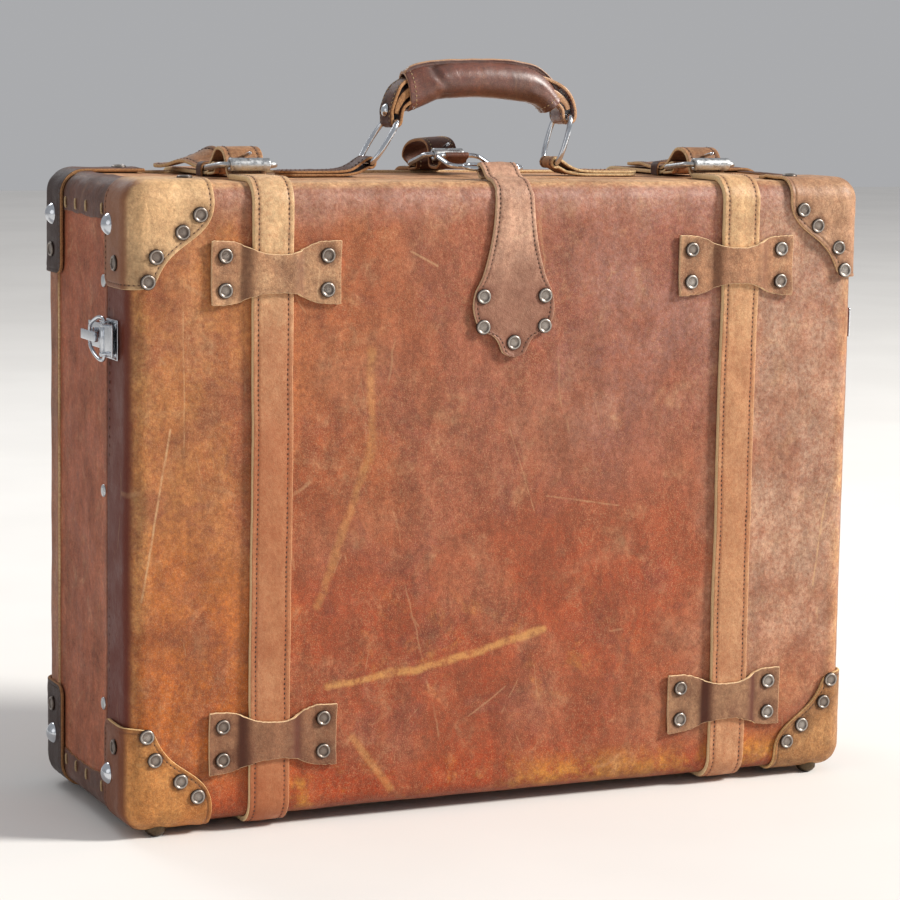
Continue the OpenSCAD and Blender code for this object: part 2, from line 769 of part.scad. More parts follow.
module feet(y, out) color(dark_leather) difference() {
  for (side = [-1, 1])
    translate([side * (end_x - foot_in), y, 0]) {
      intersection() {
        translate([0, 0, foot_dome]) mirror([0, 0, 1])
          dome(foot_r, foot_dome + foot_flat);
        cylinder(h = foot_dome, r = foot_r);
      }
      translate([0, 0, foot_dome]) cylinder(h = 10, r = foot_r);
    }
  envelope(out);
}

rim_rivet_y = seam_y + 7;
rim_rivet_z = [88, 241, 389];
module rim_rivets()
  for (side = [-1, 1], z = rim_rivet_z)
    translate([side * end_x, rim_rivet_y, z]) facing_x(side)
      cylinder(h = 1.4, r = 4.5);

module lid_rivets() color(antique) {
  for (side = [-1, 1]) {
    at_keepers(side, -1) keeper_rivet_set();
    for (up = [-1, 1]) {
      guard_rivet_places(side, up, -1) rivet(guard_t);
      guard_edge_places(side, up, -1) rivet(guard_t);
    }
  }
  at_tab_rivets() rivet(tab_t);
}

module case_rivets() color(antique) {
  for (side = [-1, 1]) {
    at_keepers(side, 1) keeper_rivet_set();
    for (up = [-1, 1]) {
      guard_rivet_places(side, up, 1) rivet(guard_t);
      guard_edge_places(side, up, 1) rivet(guard_t);
    }
  }
  rim_rivets();
  at_clasp_rivets() rivet(strap_t - wrap_t);
}

// ---------------------------------------------------------------- latches

latch_pin_out = 4.3;   // latch pins' distance from the end wall
latch_pin_y = -55;     // latch pins' depth
latch_pin_r = 1.5;
base_t = 1.2;          // thickness of a base plate
base_y = -76;          // its front edge
base_h = 28;           // its height
ear_t = 1.4;           // thickness of the ears that hold the pin
ear_r = 2.6;           // radius of the ears
lever_half = 11.2;     // half the height of a lever
lever_len = 25;
lever_t = 1.5;         // thickness of its plate
lever_bead_r = 2;      // radius of the bead that a finger lifts it by
lug_t = 2.4;           // thickness of the lugs that hold the bail
lug_d = 5.2;
lug_h = 4.6;
bail_y = latch_pin_y - 9;
bail_out = latch_pin_out + 2.4;
bail_wire_r = 1.3;
bail_joint_r = 1.5;    // radius of the bail's rounded corners
bail_wide = 15;        // half the height of a bail at its pivots
bail_narrow = 8;       // half its height at its bar
bail_bar_y = -31;
bail_block = [3.4, 31, 7.2];
catch_plate = [1, 26, 18];
catch_hook = [4.2, 3, 10];
lug_clear = 0.3;

// Puts children at a latch, x outwards from the end wall, z about its middle.
module at_latch(side)
  translate([side * end_x, 0, latch_z]) mirror([side < 0 ? 1 : 0, 0, 0])
    children();
module at_latches() for (side = [-1, 1]) at_latch(side) children();

module latch_bases() color(steel) at_latches() {
  translate([0, base_y, -base_h / 2])
    cube([base_t, latch_pin_y + ear_r + 1 - base_y, base_h]);
  for (z = [-1, 1])
    translate([0, latch_pin_y, z * (lever_half + ear_t / 2 + 0.4)]) {
      translate([latch_pin_out, 0, 0]) cylinder(h = ear_t, r = ear_r, center = true);
      translate([0, -ear_r, -ear_t / 2]) cube([latch_pin_out, 2 * ear_r, ear_t]);
    }
  translate([latch_pin_out, latch_pin_y, 0])
    cylinder(h = 2 * lever_half + 3.6, r = latch_pin_r, center = true);
}

module latch_lever(side) color(steel) at_latch(side) {
  plate_out = latch_pin_out - 0.6;
  difference() {
    union() {
      translate([latch_pin_out, latch_pin_y, 0])
        cylinder(h = 2 * lever_half, r = ear_r, center = true);
      translate([plate_out, latch_pin_y - lever_len, -lever_half])
        cube([lever_t, lever_len, 2 * lever_half]);
      translate([plate_out + lever_t + 0.3, latch_pin_y - lever_len, 0])
        cylinder(h = 2 * lever_half - 4, r = lever_bead_r, center = true);
    }
    translate([latch_pin_out, latch_pin_y, 0])
      cylinder(h = 60, r = latch_pin_r + fit, center = true);
  }
  for (z = [-1, 1])
    difference() {
      translate([latch_pin_out + 0.5, bail_y - lug_d / 2,
        z > 0 ? lever_half - lug_t : -lever_half]) cube([lug_h, lug_d, lug_t]);
      translate([bail_out, bail_y, 0])
        cylinder(h = 60, r = bail_wire_r + lug_clear, center = true);
    }
}

module latch_bail(side) color(steel) at_latch(side) {
  for (z = [-1, 1]) {
    pivot = [bail_out, bail_y, z * bail_wide];
    elbow = [bail_out, seam_y, z * bail_wide];
    tip = [bail_out, bail_bar_y, z * bail_narrow];
    bar([bail_out, bail_y, z * (lever_half - lug_t + 0.2)], pivot, bail_wire_r);
    bar(pivot, elbow, bail_wire_r);
    bar(elbow, tip, bail_wire_r);
    for (p = [pivot, elbow, tip]) translate(p) sphere(bail_joint_r);
  }
  bar([bail_out, bail_bar_y, -bail_narrow], [bail_out, bail_bar_y, bail_narrow],
    bail_wire_r);
  translate([bail_out - 1.5, bail_bar_y - bail_block[1] / 2 + 0.5, -bail_block[2] / 2])
    cube(bail_block);
}

module latch_catches() color(steel) at_latches() {
  translate([0, bail_bar_y - 4, -catch_plate[2] / 2]) cube(catch_plate);
  translate([0, bail_bar_y + 3, -catch_hook[2] / 2]) cube(catch_hook);
}

// ---------------------------------------------------------------- hinges

hinge_x = 100;         // hinges' distance from the middle
leaf_half = 23;        // half the length of a hinge
leaf_d = 14;           // depth of a leaf
leaf_t = 1.2;
knuckle_r = 2.2;
knuckle_half = 8;      // half the length of the middle knuckle
hinge_pin_r = 1;

module at_hinges()
  for (side = [-1, 1]) translate([side * hinge_x, seam_y, hinge_z]) children();

// A leaf with its knuckle, dir -1 towards the lid and 1 towards the case.
module leaf(dir, x0, x1) {
  y_far = dir * leaf_d;
  translate([x0, min(0, y_far), 2.5 - leaf_t]) cube([x1 - x0, leaf_d, leaf_t]);
  translate([(x0 + x1) / 2, 0, 0]) rotate([0, 90, 0])
    cylinder(h = x1 - x0, r = knuckle_r, center = true);
}

module leaf_plate(dir) {
  root = 2.8;
  translate([-leaf_half, dir > 0 ? root : -leaf_d, 2.5 - leaf_t])
    cube([2 * leaf_half, leaf_d - root, leaf_t]);
}

module pin_hole()
  rotate([0, 90, 0]) cylinder(h = 60, r = hinge_pin_r + fit, center = true);

module hinge_leaves_lid() color(steel) at_hinges() difference() {
  union() {
    leaf(-1, -knuckle_half, knuckle_half);
    leaf_plate(-1);
  }
  pin_hole();
}

module hinge_leaves_case() color(steel) at_hinges() difference() {
  union() {
    leaf(1, -leaf_half, -knuckle_half - 0.35);
    leaf(1, knuckle_half + 0.35, leaf_half);
    leaf_plate(1);
  }
  pin_hole();
}

module hinge_pins() color(antique) at_hinges()
  rotate([0, 90, 0]) cylinder(h = 2 * leaf_half, r = hinge_pin_r, center = true);

// ---------------------------------------------------------------- nodes

lid_board();
lid_lining();
lid_cover();
hasp_tab();
lid_rivets();
strap_front(-1);  // strap_front_left
strap_front(1);  // strap_front_right
keepers_front();
guard_front(-1, 1);  // guard_front_top_left
guard_front(1, 1);  // guard_front_top_right
guard_front(-1, -1);  // guard_front_bottom_left
guard_front(1, -1);  // guard_front_bottom_right
studs(seam_y - 10, guard_t);  // front_studs
feet(front_y + foot_d, guard_t);  // front_feet
latch_bases();
hinge_leaves_lid();
case_board();
case_lining();
case_cover();
back_wrap();
closing_lip();
end_flaps();
case_rivets();
guards_rear(-1);  // guards_rear_left
guards_rear(1);  // guards_rear_right
studs(back_y - 26, guard_t + wrap_t);  // rear_studs
feet(back_y - foot_d, guard_t + wrap_t);  // rear_feet
strap_rear(-1);  // strap_rear_left
strap_rear(1);  // strap_rear_right
keepers_rear();
strap_tail(-1);  // strap_tail_left
strap_tail(1);  // strap_tail_right
strap_loops();
chape(-1);  // chape_left
chape(1);  // chape_right
latch_catches();
hinge_leaves_case();
hinge_pins();
clasp_strap();
clasp_billet();
handle_ring(-1, ring_lean_left);  // ring_left
handle_ring(1, ring_lean_right);  // ring_right
grip();
handle_strap();
handle_rivets();
long_frame(-1);  // buckle_frame_left
long_frame(1);  // buckle_frame_right
long_prong(-1);  // buckle_prong_left
long_prong(1);  // buckle_prong_right
long_roller(-1);  // buckle_roller_left
long_roller(1);  // buckle_roller_right
clasp_frame();
clasp_prong();
clasp_roller();
hasp_ring();
clasp_ring();
latch_lever(-1);  // latch_lever_left
latch_lever(1);  // latch_lever_right
latch_bail(-1);  // latch_bail_left
latch_bail(1);  // latch_bail_right
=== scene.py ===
"""Leather suitcase: the looks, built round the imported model.  Lengths in this file
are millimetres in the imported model's frame, turned into metres as meshes are made."""

import math

import bmesh
import bpy
import numpy as np
from mathutils import Matrix, Vector

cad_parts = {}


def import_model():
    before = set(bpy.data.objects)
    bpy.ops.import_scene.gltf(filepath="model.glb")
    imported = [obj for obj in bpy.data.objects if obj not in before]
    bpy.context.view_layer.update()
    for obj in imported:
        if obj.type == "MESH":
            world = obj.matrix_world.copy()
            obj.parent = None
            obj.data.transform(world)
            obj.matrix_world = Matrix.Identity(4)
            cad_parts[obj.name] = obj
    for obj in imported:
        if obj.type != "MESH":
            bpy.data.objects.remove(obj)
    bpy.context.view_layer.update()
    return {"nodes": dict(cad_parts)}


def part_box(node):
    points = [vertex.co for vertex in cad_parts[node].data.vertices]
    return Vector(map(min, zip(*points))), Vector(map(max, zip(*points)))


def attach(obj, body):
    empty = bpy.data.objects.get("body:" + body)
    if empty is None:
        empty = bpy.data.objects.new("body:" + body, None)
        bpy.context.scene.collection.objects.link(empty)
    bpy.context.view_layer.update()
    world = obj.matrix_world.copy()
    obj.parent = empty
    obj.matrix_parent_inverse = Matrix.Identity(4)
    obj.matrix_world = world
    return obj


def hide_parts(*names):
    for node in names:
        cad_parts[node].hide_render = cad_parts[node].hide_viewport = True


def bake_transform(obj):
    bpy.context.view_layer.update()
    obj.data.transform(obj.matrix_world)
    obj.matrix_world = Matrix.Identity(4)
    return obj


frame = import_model()
MM = 0.001


# ------------------------------------------------------------ sizes, from the frame

def box_mm(node):
    """Lowest and highest corner of a CAD node, in millimetres."""
    lo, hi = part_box(node)
    return np.array(lo) / MM, np.array(hi) / MM


LID_LO, LID_HI = box_mm("lid_cover")
CASE_LO, CASE_HI = box_mm("case_cover")
WRAP_LO, WRAP_HI = box_mm("back_wrap")
END = LID_HI[0]
FRONT = LID_LO[1]
BACK = CASE_HI[1]
FOOT = LID_LO[2]
TOP = LID_HI[2]
SEAM = (LID_HI[1] + CASE_LO[1]) / 2
GAP = (CASE_LO[1] - LID_HI[1]) / 2
WRAP = WRAP_HI[1] - BACK
WRAP_Y = WRAP_LO[1]
EDGE_R = 15.0
MIDDLE = np.array([0.0, 0.0, (FOOT + TOP) / 2])
HALF = np.array([END, BACK, (TOP - FOOT) / 2])
STRAP_X = float(np.mean([v[0] for v in box_mm("strap_front_right")]))
STRAP_W = 30.0
STRAP_T = 3.8
RIVET_R = 5.5
PITCH = 3.5             # from one stitch to the next
HAND = {-1: "left", 1: "right"}


# ------------------------------------------------------------ small mathematics

def unit(v):
    """Rows of v made one long."""
    v = np.asarray(v, float)
    return v / np.maximum(np.linalg.norm(v, axis=-1, keepdims=True), 1e-9)


def smooth(a, b, x):
    """0 below a, 1 above b, with a soft step between."""
    t = np.clip((np.asarray(x, float) - a) / (b - a), 0, 1)
    return t * t * (3 - 2 * t)


def waves(p, size, seed, count=14):
    """A smooth random field over the points p, about -1 to 1, whose bumps are size across."""
    rng = np.random.default_rng(seed)
    p = np.asarray(p, float)
    total = np.zeros(p.shape[:-1])
    for _ in range(count):
        k = unit(rng.normal(size=3)) * (2 * math.pi / size) * rng.uniform(0.55, 1.5)
        total += np.sin(p @ k + rng.uniform(0, 2 * math.pi))
    return total / math.sqrt(count) * 0.8


def waves_1d(s, size, seed, count=9):
    """The same along a line of distances s."""
    s = np.asarray(s, float)
    return waves(np.stack([s, s * 0, s * 0], -1), size, seed, count)


def bezier(points, n):
    """n + 1 points on a cubic curve."""
    a, b, c, d = (np.array(p, float) for p in points)
    t = np.linspace(0, 1, n + 1)[:, None]
    return (1 - t) ** 3 * a + 3 * (1 - t) ** 2 * t * b + 3 * (1 - t) * t * t * c + t ** 3 * d


def lengths(p):
    """Distance along the polyline p, at each of its points."""
    return np.concatenate([[0], np.cumsum(np.linalg.norm(np.diff(p, axis=0), axis=1))])


def resample(p, step=None, count=None, extra=()):
    """Points along the polyline p at even distances, and at the extra distances."""
    s = lengths(p)
    n = count or max(2, int(round(s[-1] / step)) + 1)
    at = np.linspace(0, s[-1], n)
    if len(extra):
        at = np.unique(np.concatenate([at, [e if e >= 0 else s[-1] + e for e in extra]]))
    return np.stack([np.interp(at, s, p[:, k]) for k in range(p.shape[1])], -1)


def soften(p, rounds=2):
    """Rounds off a polyline's corners and keeps its ends."""
    p = np.asarray(p, float)
    for _ in range(rounds):
        q = 0.75 * p[:-1] + 0.25 * p[1:]
        r = 0.25 * p[:-1] + 0.75 * p[1:]
        p = np.concatenate([p[:1], np.stack([q, r], 1).reshape(-1, p.shape[1]), p[-1:]])
    return p


def skin(p, h=0.0):
    """The points p brought to the rounded case's surface, h outside it."""
    lo = MIDDLE - HALF + EDGE_R
    hi = MIDDLE + HALF - EDGE_R
    q = np.clip(p, lo, hi)
    return q + unit(np.asarray(p, float) - q) * (EDGE_R + np.asarray(h, float))[..., None]


def edge_profile(d, thick, r):
    """Height of a leather edge of radius r, d in from the cut."""
    x = 1 - np.clip(np.asarray(d, float) / r, 0, 1)
    return thick - r * (1 - np.sqrt(np.maximum(0, 1 - x * x)))


# ------------------------------------------------------------ meshes

MARKS = ("edge", "dark", "tint")


class Piece:
    """A mesh in the making, with marks that the materials read:
    edge is the cut edge, and on rivet heads the pale ring, partly polish and partly a
    painted highlight; dark is grime beside seams and rivets, and painted shade in the
    grip's folds, crease and open ends; tint is a shade, in places painted shade: in keeper
    creases, on the guards' end-wall parts and under the grip."""

    def __init__(self):
        self.v, self.f, self.m = [], [], []
        self.marks = {k: [] for k in MARKS}
        self.n = 0

    def add(self, verts, faces, mat=0, **marks):
        verts = np.asarray(verts, float).reshape(-1, 3)
        self.v.append(verts)
        for k in MARKS:
            value = np.asarray(marks.get(k, 0.0), float)
            self.marks[k].append(np.broadcast_to(value.reshape(-1), len(verts))
                                 if value.size == 1 else value.reshape(-1))
        faces = [[int(i) + self.n for i in f] for f in faces]
        self.f += faces
        self.m += [mat] * len(faces)
        self.n += len(verts)

    def verts(self):
        return np.concatenate(self.v)

    def build(self, name, mats, body, slot, replaces=()):
        """Makes the object, rides it on its body and hides the nodes it stands for."""
        mesh = bpy.data.meshes.new(name)
        mesh.from_pydata((self.verts() * MM).tolist(), [], self.f)
        for k in MARKS:
            made = mesh.attributes.new(k, "FLOAT", "POINT")
            made.data.foreach_set("value", np.concatenate(self.marks[k]).astype(np.float32))
        for m in mats:
            mesh.materials.append(m)
        mesh.polygons.foreach_set("material_index", self.m)
        mesh.polygons.foreach_set("use_smooth", [True] * len(mesh.polygons))
        outward = bmesh.new()
        outward.from_mesh(mesh)
        bmesh.ops.recalc_face_normals(outward, faces=outward.faces)
        outward.to_mesh(mesh)
        outward.free()
        mesh.validate()
        obj = bpy.data.objects.new(name, mesh)
        bpy.context.collection.objects.link(obj)
        if isinstance(body, str):
            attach(obj, body)
        else:
            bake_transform(obj)
        if replaces:
            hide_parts(*([replaces] if isinstance(replaces, str) else replaces))
        return obj


def grid_faces(n, m, wrap_n=False, wrap_m=False, flip=False):
    """Quads of an n by m grid of points, numbered row by row."""
    i, j = np.meshgrid(np.arange(n if wrap_n else n - 1), np.arange(m if wrap_m else m - 1),
                       indexing="ij")
    i, j = i.ravel(), j.ravel()
    a = i * m + j
    b = i * m + (j + 1) % m
    c = ((i + 1) % n) * m + (j + 1) % m
    d = ((i + 1) % n) * m + j
    quads = np.stack([a, b, c, d], 1)
    return (quads[:, ::-1] if flip else quads).tolist()


def slab(piece, top, under, faces, mat=0, edge=None, dark=0.0, tint=0.0):
    """A closed slab from a top sheet, the sheet under it and the top's faces."""
    n = len(top)
    edge = np.zeros(n) if edge is None else edge
    count = {}
    for f in faces:
        for a, b in zip(f, f[1:] + f[:1]):
            count[(a, b)] = True
    rim = [(a, b) for a, b in count if (b, a) not in count]
    every = list(faces) + [[i + n for i in f[::-1]] for f in faces]
    every += [[b, a, a + n, b + n] for a, b in rim]
    under_edge = np.zeros(n)
    for a, b in rim:
        under_edge[a] = under_edge[b] = 1.0
    both = {"edge": np.concatenate([edge, under_edge])}
    for k, value in (("dark", dark), ("tint", tint)):
        value = np.broadcast_to(np.asarray(value, float), n)
        both[k] = np.concatenate([value, value])
    piece.add(np.concatenate([top, under]), every, mat, **both)


def columns(left, right, stitch, step):
    """Places across a leather strip, from -left to right, with their distance in from
    the nearer edge.  They are close together at the edges and at the seams."""
    near = [0.0, 0.2, 0.55, 1.1, 1.9]
    for s in stitch:
        near += [s - 0.7, s, s + 0.7]
    near = np.array(sorted(near))
    inner = near[-1] + 1.5
    n = max(2, int(round((float(np.max(left + right)) - 2 * inner) / step)))
    scale = np.minimum(1, (left + right) / 2 / (inner + 0.5))[:, None]
    d = near[None, :] * scale
    mid = np.linspace(0, 1, n + 1)[None, :]
    a = -left[:, None] + inner * scale
    b = right[:, None] - inner * scale
    t = np.concatenate([-left[:, None] + d, a + (b - a) * mid,
                        right[:, None] - d[:, ::-1]], 1)
    return t, np.minimum(t + left[:, None], right[:, None] - t)


GROOVE = 0.3            # how deep a seam is pressed in
UNDER_R = 0.35          # rounding of a strip's lower edges


def ribbon(piece, centre, side, out, left, right, thick, stitch=(), r=0.8, step=3.5,
           lumps=0.15, seed=1, mat=0, tint=0.0, crown=0.0, lift=None, thread=None, dark=0.0,
           pitch=PITCH):
    """A strip of leather.  centre is the line under its middle, side points across it
    and out points away from what it lies on; left and right are its half widths."""
    n = len(centre)
    centre, side, out = (np.asarray(a, float) for a in (centre, side, out))
    left = np.broadcast_to(np.asarray(left, float), n)
    right = np.broadcast_to(np.asarray(right, float), n)
    thick = np.broadcast_to(np.asarray(thick, float), n)
    t, d = columns(left, right, stitch, step)
    m = t.shape[1]
    base = centre[:, None] + side[:, None] * t[..., None]
    h = edge_profile(d, thick[:, None], r)
    for s in stitch:
        h = h - GROOVE * np.exp(-((d - s) / 0.6) ** 2)
    middle = (right - left)[:, None] / 2
    half = (left + right)[:, None] / 2
    h = h + crown * (1 - ((t - middle) / half) ** 2)
    bump = waves(base, 22, seed) * lumps + waves(base, 6, seed + 1) * lumps * 0.35
    low = -edge_profile(d, 0, UNDER_R)
    if lift is not None:
        raised = lift(t, d)
        h = h + raised
        low = low + raised
    top = base + out[:, None] * (h + bump * smooth(0, 2, d))[..., None]
    under = base + out[:, None] * low[..., None]
    ring = np.concatenate([top, under[:, ::-1]], 1)
    cut = np.clip(1.25 - d / 0.45, 0, 1)
    cut[0], cut[-1] = 1, 1
    soil = sum(np.exp(-((d - s) / 0.9) ** 2) for s in stitch) if len(stitch) else d * 0
    soil = np.clip(soil * 0.8 + dark, 0, 1)
    shade = np.broadcast_to(np.asarray(tint, float).reshape(-1, 1), (n, m)) \
        if np.size(tint) > 1 else np.full((n, m), float(tint))
    faces = grid_faces(n, 2 * m, wrap_m=True, flip=True)
    for row, turn in ((0, 1), (n - 1, -1)):
        for j in range(m - 1):
            quad = [row * 2 * m + k for k in (j, j + 1, 2 * m - 2 - j, 2 * m - 1 - j)]
            faces.append(quad[::turn])
    piece.add(ring, faces, mat,
              edge=np.concatenate([cut, np.maximum(cut[:, ::-1], 0)], 1),
              dark=np.concatenate([soil, soil[:, ::-1] * 0], 1),
              tint=np.concatenate([shade, shade], 1))
    if thread is not None:
        for s in stitch:
            for sign, edge_t in ((-1, left), (1, right)):
                at = sign * (edge_t - s)
                high = thick - GROOVE * 0.6
                if lift is not None:
                    high = high + lift(at[:, None], np.full((n, 1), s))[:, 0]
                line = centre + side * at[:, None] + out * high[:, None]
                keep = edge_t > s + 2.5
                stitches(piece, line[keep], out[keep], mat=thread, pitch=pitch, seed=seed)
    return top


def stitches(piece, line, out, mat=1, pitch=PITCH, long=2.2, r=0.5, seed=1, sink=0.0):
    """A seam of short threads along a line.  Each is a thin capsule with its ends in the leather."""
    if len(line) < 2:
        return
    s = lengths(line)
    n = int((s[-1] - 1) / pitch)
    if n < 1:
        return
    rng = np.random.default_rng(seed + 77)
    around = np.linspace(0, 2 * math.pi, 7)[:-1]
    along = np.array([-0.5, -0.36, 0.0, 0.36, 0.5])
    fat = np.array([0.35, 0.85, 1.0, 0.85, 0.35])
    drop = np.array([0.55, 0.12, -0.1, 0.12, 0.55])
    for i in range(n):
        mid = (i + 0.5) * pitch + rng.uniform(-0.15, 0.15)
        size = long * rng.uniform(0.85, 1.1)
        at = mid + along * size
        p = np.stack([np.interp(at, s, line[:, k]) for k in range(3)], -1)
        o = unit(np.array([np.interp(mid, s, out[:, k]) for k in range(3)]))
        t = unit(p[-1] - p[0])
        across = unit(np.cross(t, o))
        p = p - o * (drop[:, None] + sink)
        ring = (p[:, None] + across * (np.cos(around)[None, :] * fat[:, None] * r)[..., None]
                + o * (np.sin(around)[None, :] * fat[:, None] * r)[..., None])
        m = len(around)
        faces = grid_faces(5, m, wrap_m=True)
        faces += [list(range(m))[::-1], [4 * m + k for k in range(m)]]
        piece.add(ring, faces, mat, tint=rng.uniform(0, 1))


def lathe(piece, centre, out, profile, mat=0, segments=28, tint=0.0, tilt=0.0, seed=0,
          edge=None, dark=None):
    """A turned shape of (radius, height) pairs, from the outside in, standing on centre."""
    rng = np.random.default_rng(seed)
    out = unit(np.array(out, float) + rng.normal(size=3) * tilt)
    x = unit(np.cross(out, [0.3, 0.5, 0.81]))
    y = np.cross(out, x)
    a = np.linspace(0, 2 * math.pi, segments + 1)[:-1] + rng.uniform(0, 1)
    rings = []
    for radius, h in profile[:-1]:
        rings.append(np.array(centre) + out * h
                     + radius * (np.cos(a)[:, None] * x + np.sin(a)[:, None] * y))
    verts = np.concatenate(rings + [[np.array(centre) + out * profile[-1][1]]])
    n = len(rings)
    faces = grid_faces(n, segments, wrap_m=True)
    last = (n - 1) * segments
    faces += [[last + k, last + (k + 1) % segments, n * segments] for k in range(segments)]
    faces.append(list(range(segments))[::-1])
    marks = []
    for values in (edge, dark):
        values = np.zeros(n + 1) if values is None else np.array(values, float)
        marks.append(np.concatenate([np.repeat(values[:-1], segments), values[-1:]]))
    piece.add(verts, faces, mat, edge=marks[0], dark=marks[1], tint=tint)


def tube(piece, path, r, mat=0, closed=False, sides=16, tint=0.0, up=(0.13, 0.2, 0.97)):
    """Round wire of radius r along a path."""
    path = np.asarray(path, float)
    r = np.broadcast_to(np.asarray(r, float), len(path))
    if closed:
        t = unit(np.roll(path, -1, 0) - np.roll(path, 1, 0))
    else:
        t = unit(np.gradient(path, axis=0))
    x = unit(np.cross(t, up))
    y = np.cross(t, x)
    a = np.linspace(0, 2 * math.pi, sides + 1)[:-1]
    ring = path[:, None] + r[:, None, None] * (np.cos(a)[None, :, None] * x[:, None]
                                               + np.sin(a)[None, :, None] * y[:, None])
    n = len(path)
    faces = grid_faces(n, sides, wrap_n=closed, wrap_m=True, flip=True)
    if not closed:
        faces += [list(range(sides)), [(n - 1) * sides + k for k in range(sides)][::-1]]
    piece.add(ring, faces, mat, tint=tint)


# ------------------------------------------------------------ materials

def rgb(r, g, b):
    """A screen colour of 0 to 255 as a scene colour."""
    out = []
    for c in (r, g, b):
        c = c / 255
        out.append(c / 12.92 if c <= 0.04045 else ((c + 0.055) / 1.055) ** 2.4)
    return (*out, 1.0)


class Shader:
    """Short names for making a node material."""

    def __init__(self, name):
        self.mat = bpy.data.materials.new(name)
        self.mat.use_nodes = True
        self.tree = self.mat.node_tree
        self.bsdf = self.tree.nodes["Principled BSDF"]
        coord = self.tree.nodes.new("ShaderNodeTexCoord")
        self.place = coord.outputs["Object"]
        parts = self.node("ShaderNodeSeparateXYZ")
        self.link(self.place, parts.inputs[0])
        self.x, self.y, self.z = parts.outputs

    def node(self, kind, **props):
        made = self.tree.nodes.new(kind)
        for k, v in props.items():
            setattr(made, k, v)
        return made

    def link(self, a, b):
        self.tree.links.new(a, b)

    def put(self, value, socket):
        if isinstance(value, bpy.types.NodeSocket):
            self.link(value, socket)
        else:
            socket.default_value = value

    def set(self, name, value):
        self.put(value, self.bsdf.inputs[name])

    def stretch(self, sx, sy, sz, turn=(0, 0, 0), vector=None):
        made = self.node("ShaderNodeMapping")
        self.link(vector or self.place, made.inputs["Vector"])
        made.inputs["Scale"].default_value = (sx, sy, sz)
        made.inputs["Rotation"].default_value = turn
        return made.outputs[0]

    def noise(self, scale, detail=3.0, rough=0.55, warp=0.0, vector=None):
        made = self.node("ShaderNodeTexNoise")
        self.link(vector or self.place, made.inputs["Vector"])
        made.inputs["Scale"].default_value = scale
        made.inputs["Detail"].default_value = detail
        made.inputs["Roughness"].default_value = rough
        made.inputs["Distortion"].default_value = warp
        return made.outputs["Fac"]

    def bent(self, scale, amount):
        """The place, pushed about by a soft noise, so that patterns on it curve."""
        made = self.node("ShaderNodeTexNoise")
        self.link(self.place, made.inputs["Vector"])
        made.inputs["Scale"].default_value = scale
        made.inputs["Detail"].default_value = 3.0
        shift = self.vector("SCALE", made.outputs["Color"], amount)
        return self.vector("ADD", self.place, shift)

    def cells(self, scale, feature="F1", vector=None):
        made = self.node("ShaderNodeTexVoronoi", feature=feature)
        self.link(vector or self.place, made.inputs["Vector"])
        made.inputs["Scale"].default_value = scale
        made.inputs["Randomness"].default_value = 1.0
        return made.outputs["Distance"]

    def mark(self, name):
        made = self.node("ShaderNodeAttribute", attribute_name=name)
        return made.outputs["Fac"]

    def math(self, op, a, b=0.0, c=0.0, clamp=False):
        made = self.node("ShaderNodeMath", operation=op, use_clamp=clamp)
        for value, socket in zip((a, b, c), made.inputs):
            self.put(value, socket)
        return made.outputs[0]

    def vector(self, op, a, b):
        made = self.node("ShaderNodeVectorMath", operation=op)
        self.put(a, made.inputs[0])
        self.put(b, made.inputs["Scale"] if op == "SCALE" else made.inputs[1])
        return made.outputs["Value" if op in ("DOT_PRODUCT", "DISTANCE") else "Vector"]

    def span(self, value, a, b, lo=0.0, hi=1.0):
        """value from a to b becomes lo to hi, softly, and is held outside."""
        made = self.node("ShaderNodeMapRange", interpolation_type="SMOOTHSTEP")
        for v, socket in zip((value, a, b, lo, hi), made.inputs[:5]):
            self.put(v, socket)
        return made.outputs[0]

    def mix(self, fac, a, b, blend="MIX"):
        made = self.node("ShaderNodeMix", data_type="RGBA", blend_type=blend)
        self.put(fac, made.inputs["Factor"])
        self.put(a, made.inputs[6])
        self.put(b, made.inputs[7])
        return made.outputs[2]

    def bump(self, height, strength, distance, normal=None):
        made = self.node("ShaderNodeBump")
        made.inputs["Strength"].default_value = strength
        made.inputs["Distance"].default_value = distance
        self.link(height, made.inputs["Height"])
        if normal is not None:
            self.link(normal, made.inputs["Normal"])
        return made.outputs[0]


def near_line(s, place, a, b, wide):
    """1 on the line from a to b in the front's x and z (metres), fading out wide from it."""
    dx, dz = b[0] - a[0], b[1] - a[1]
    size = dx * dx + dz * dz
    rel = s.vector("SUBTRACT", place, (a[0], 0.0, a[1]))
    along = s.vector("DOT_PRODUCT", rel, (dx / size, 0.0, dz / size))
    foot = s.vector("SCALE", (dx, 0.0, dz), s.math("ADD", along, 0.0, clamp=True))
    return s.span(s.vector("DISTANCE", rel, foot), wide, wide * 0.2)


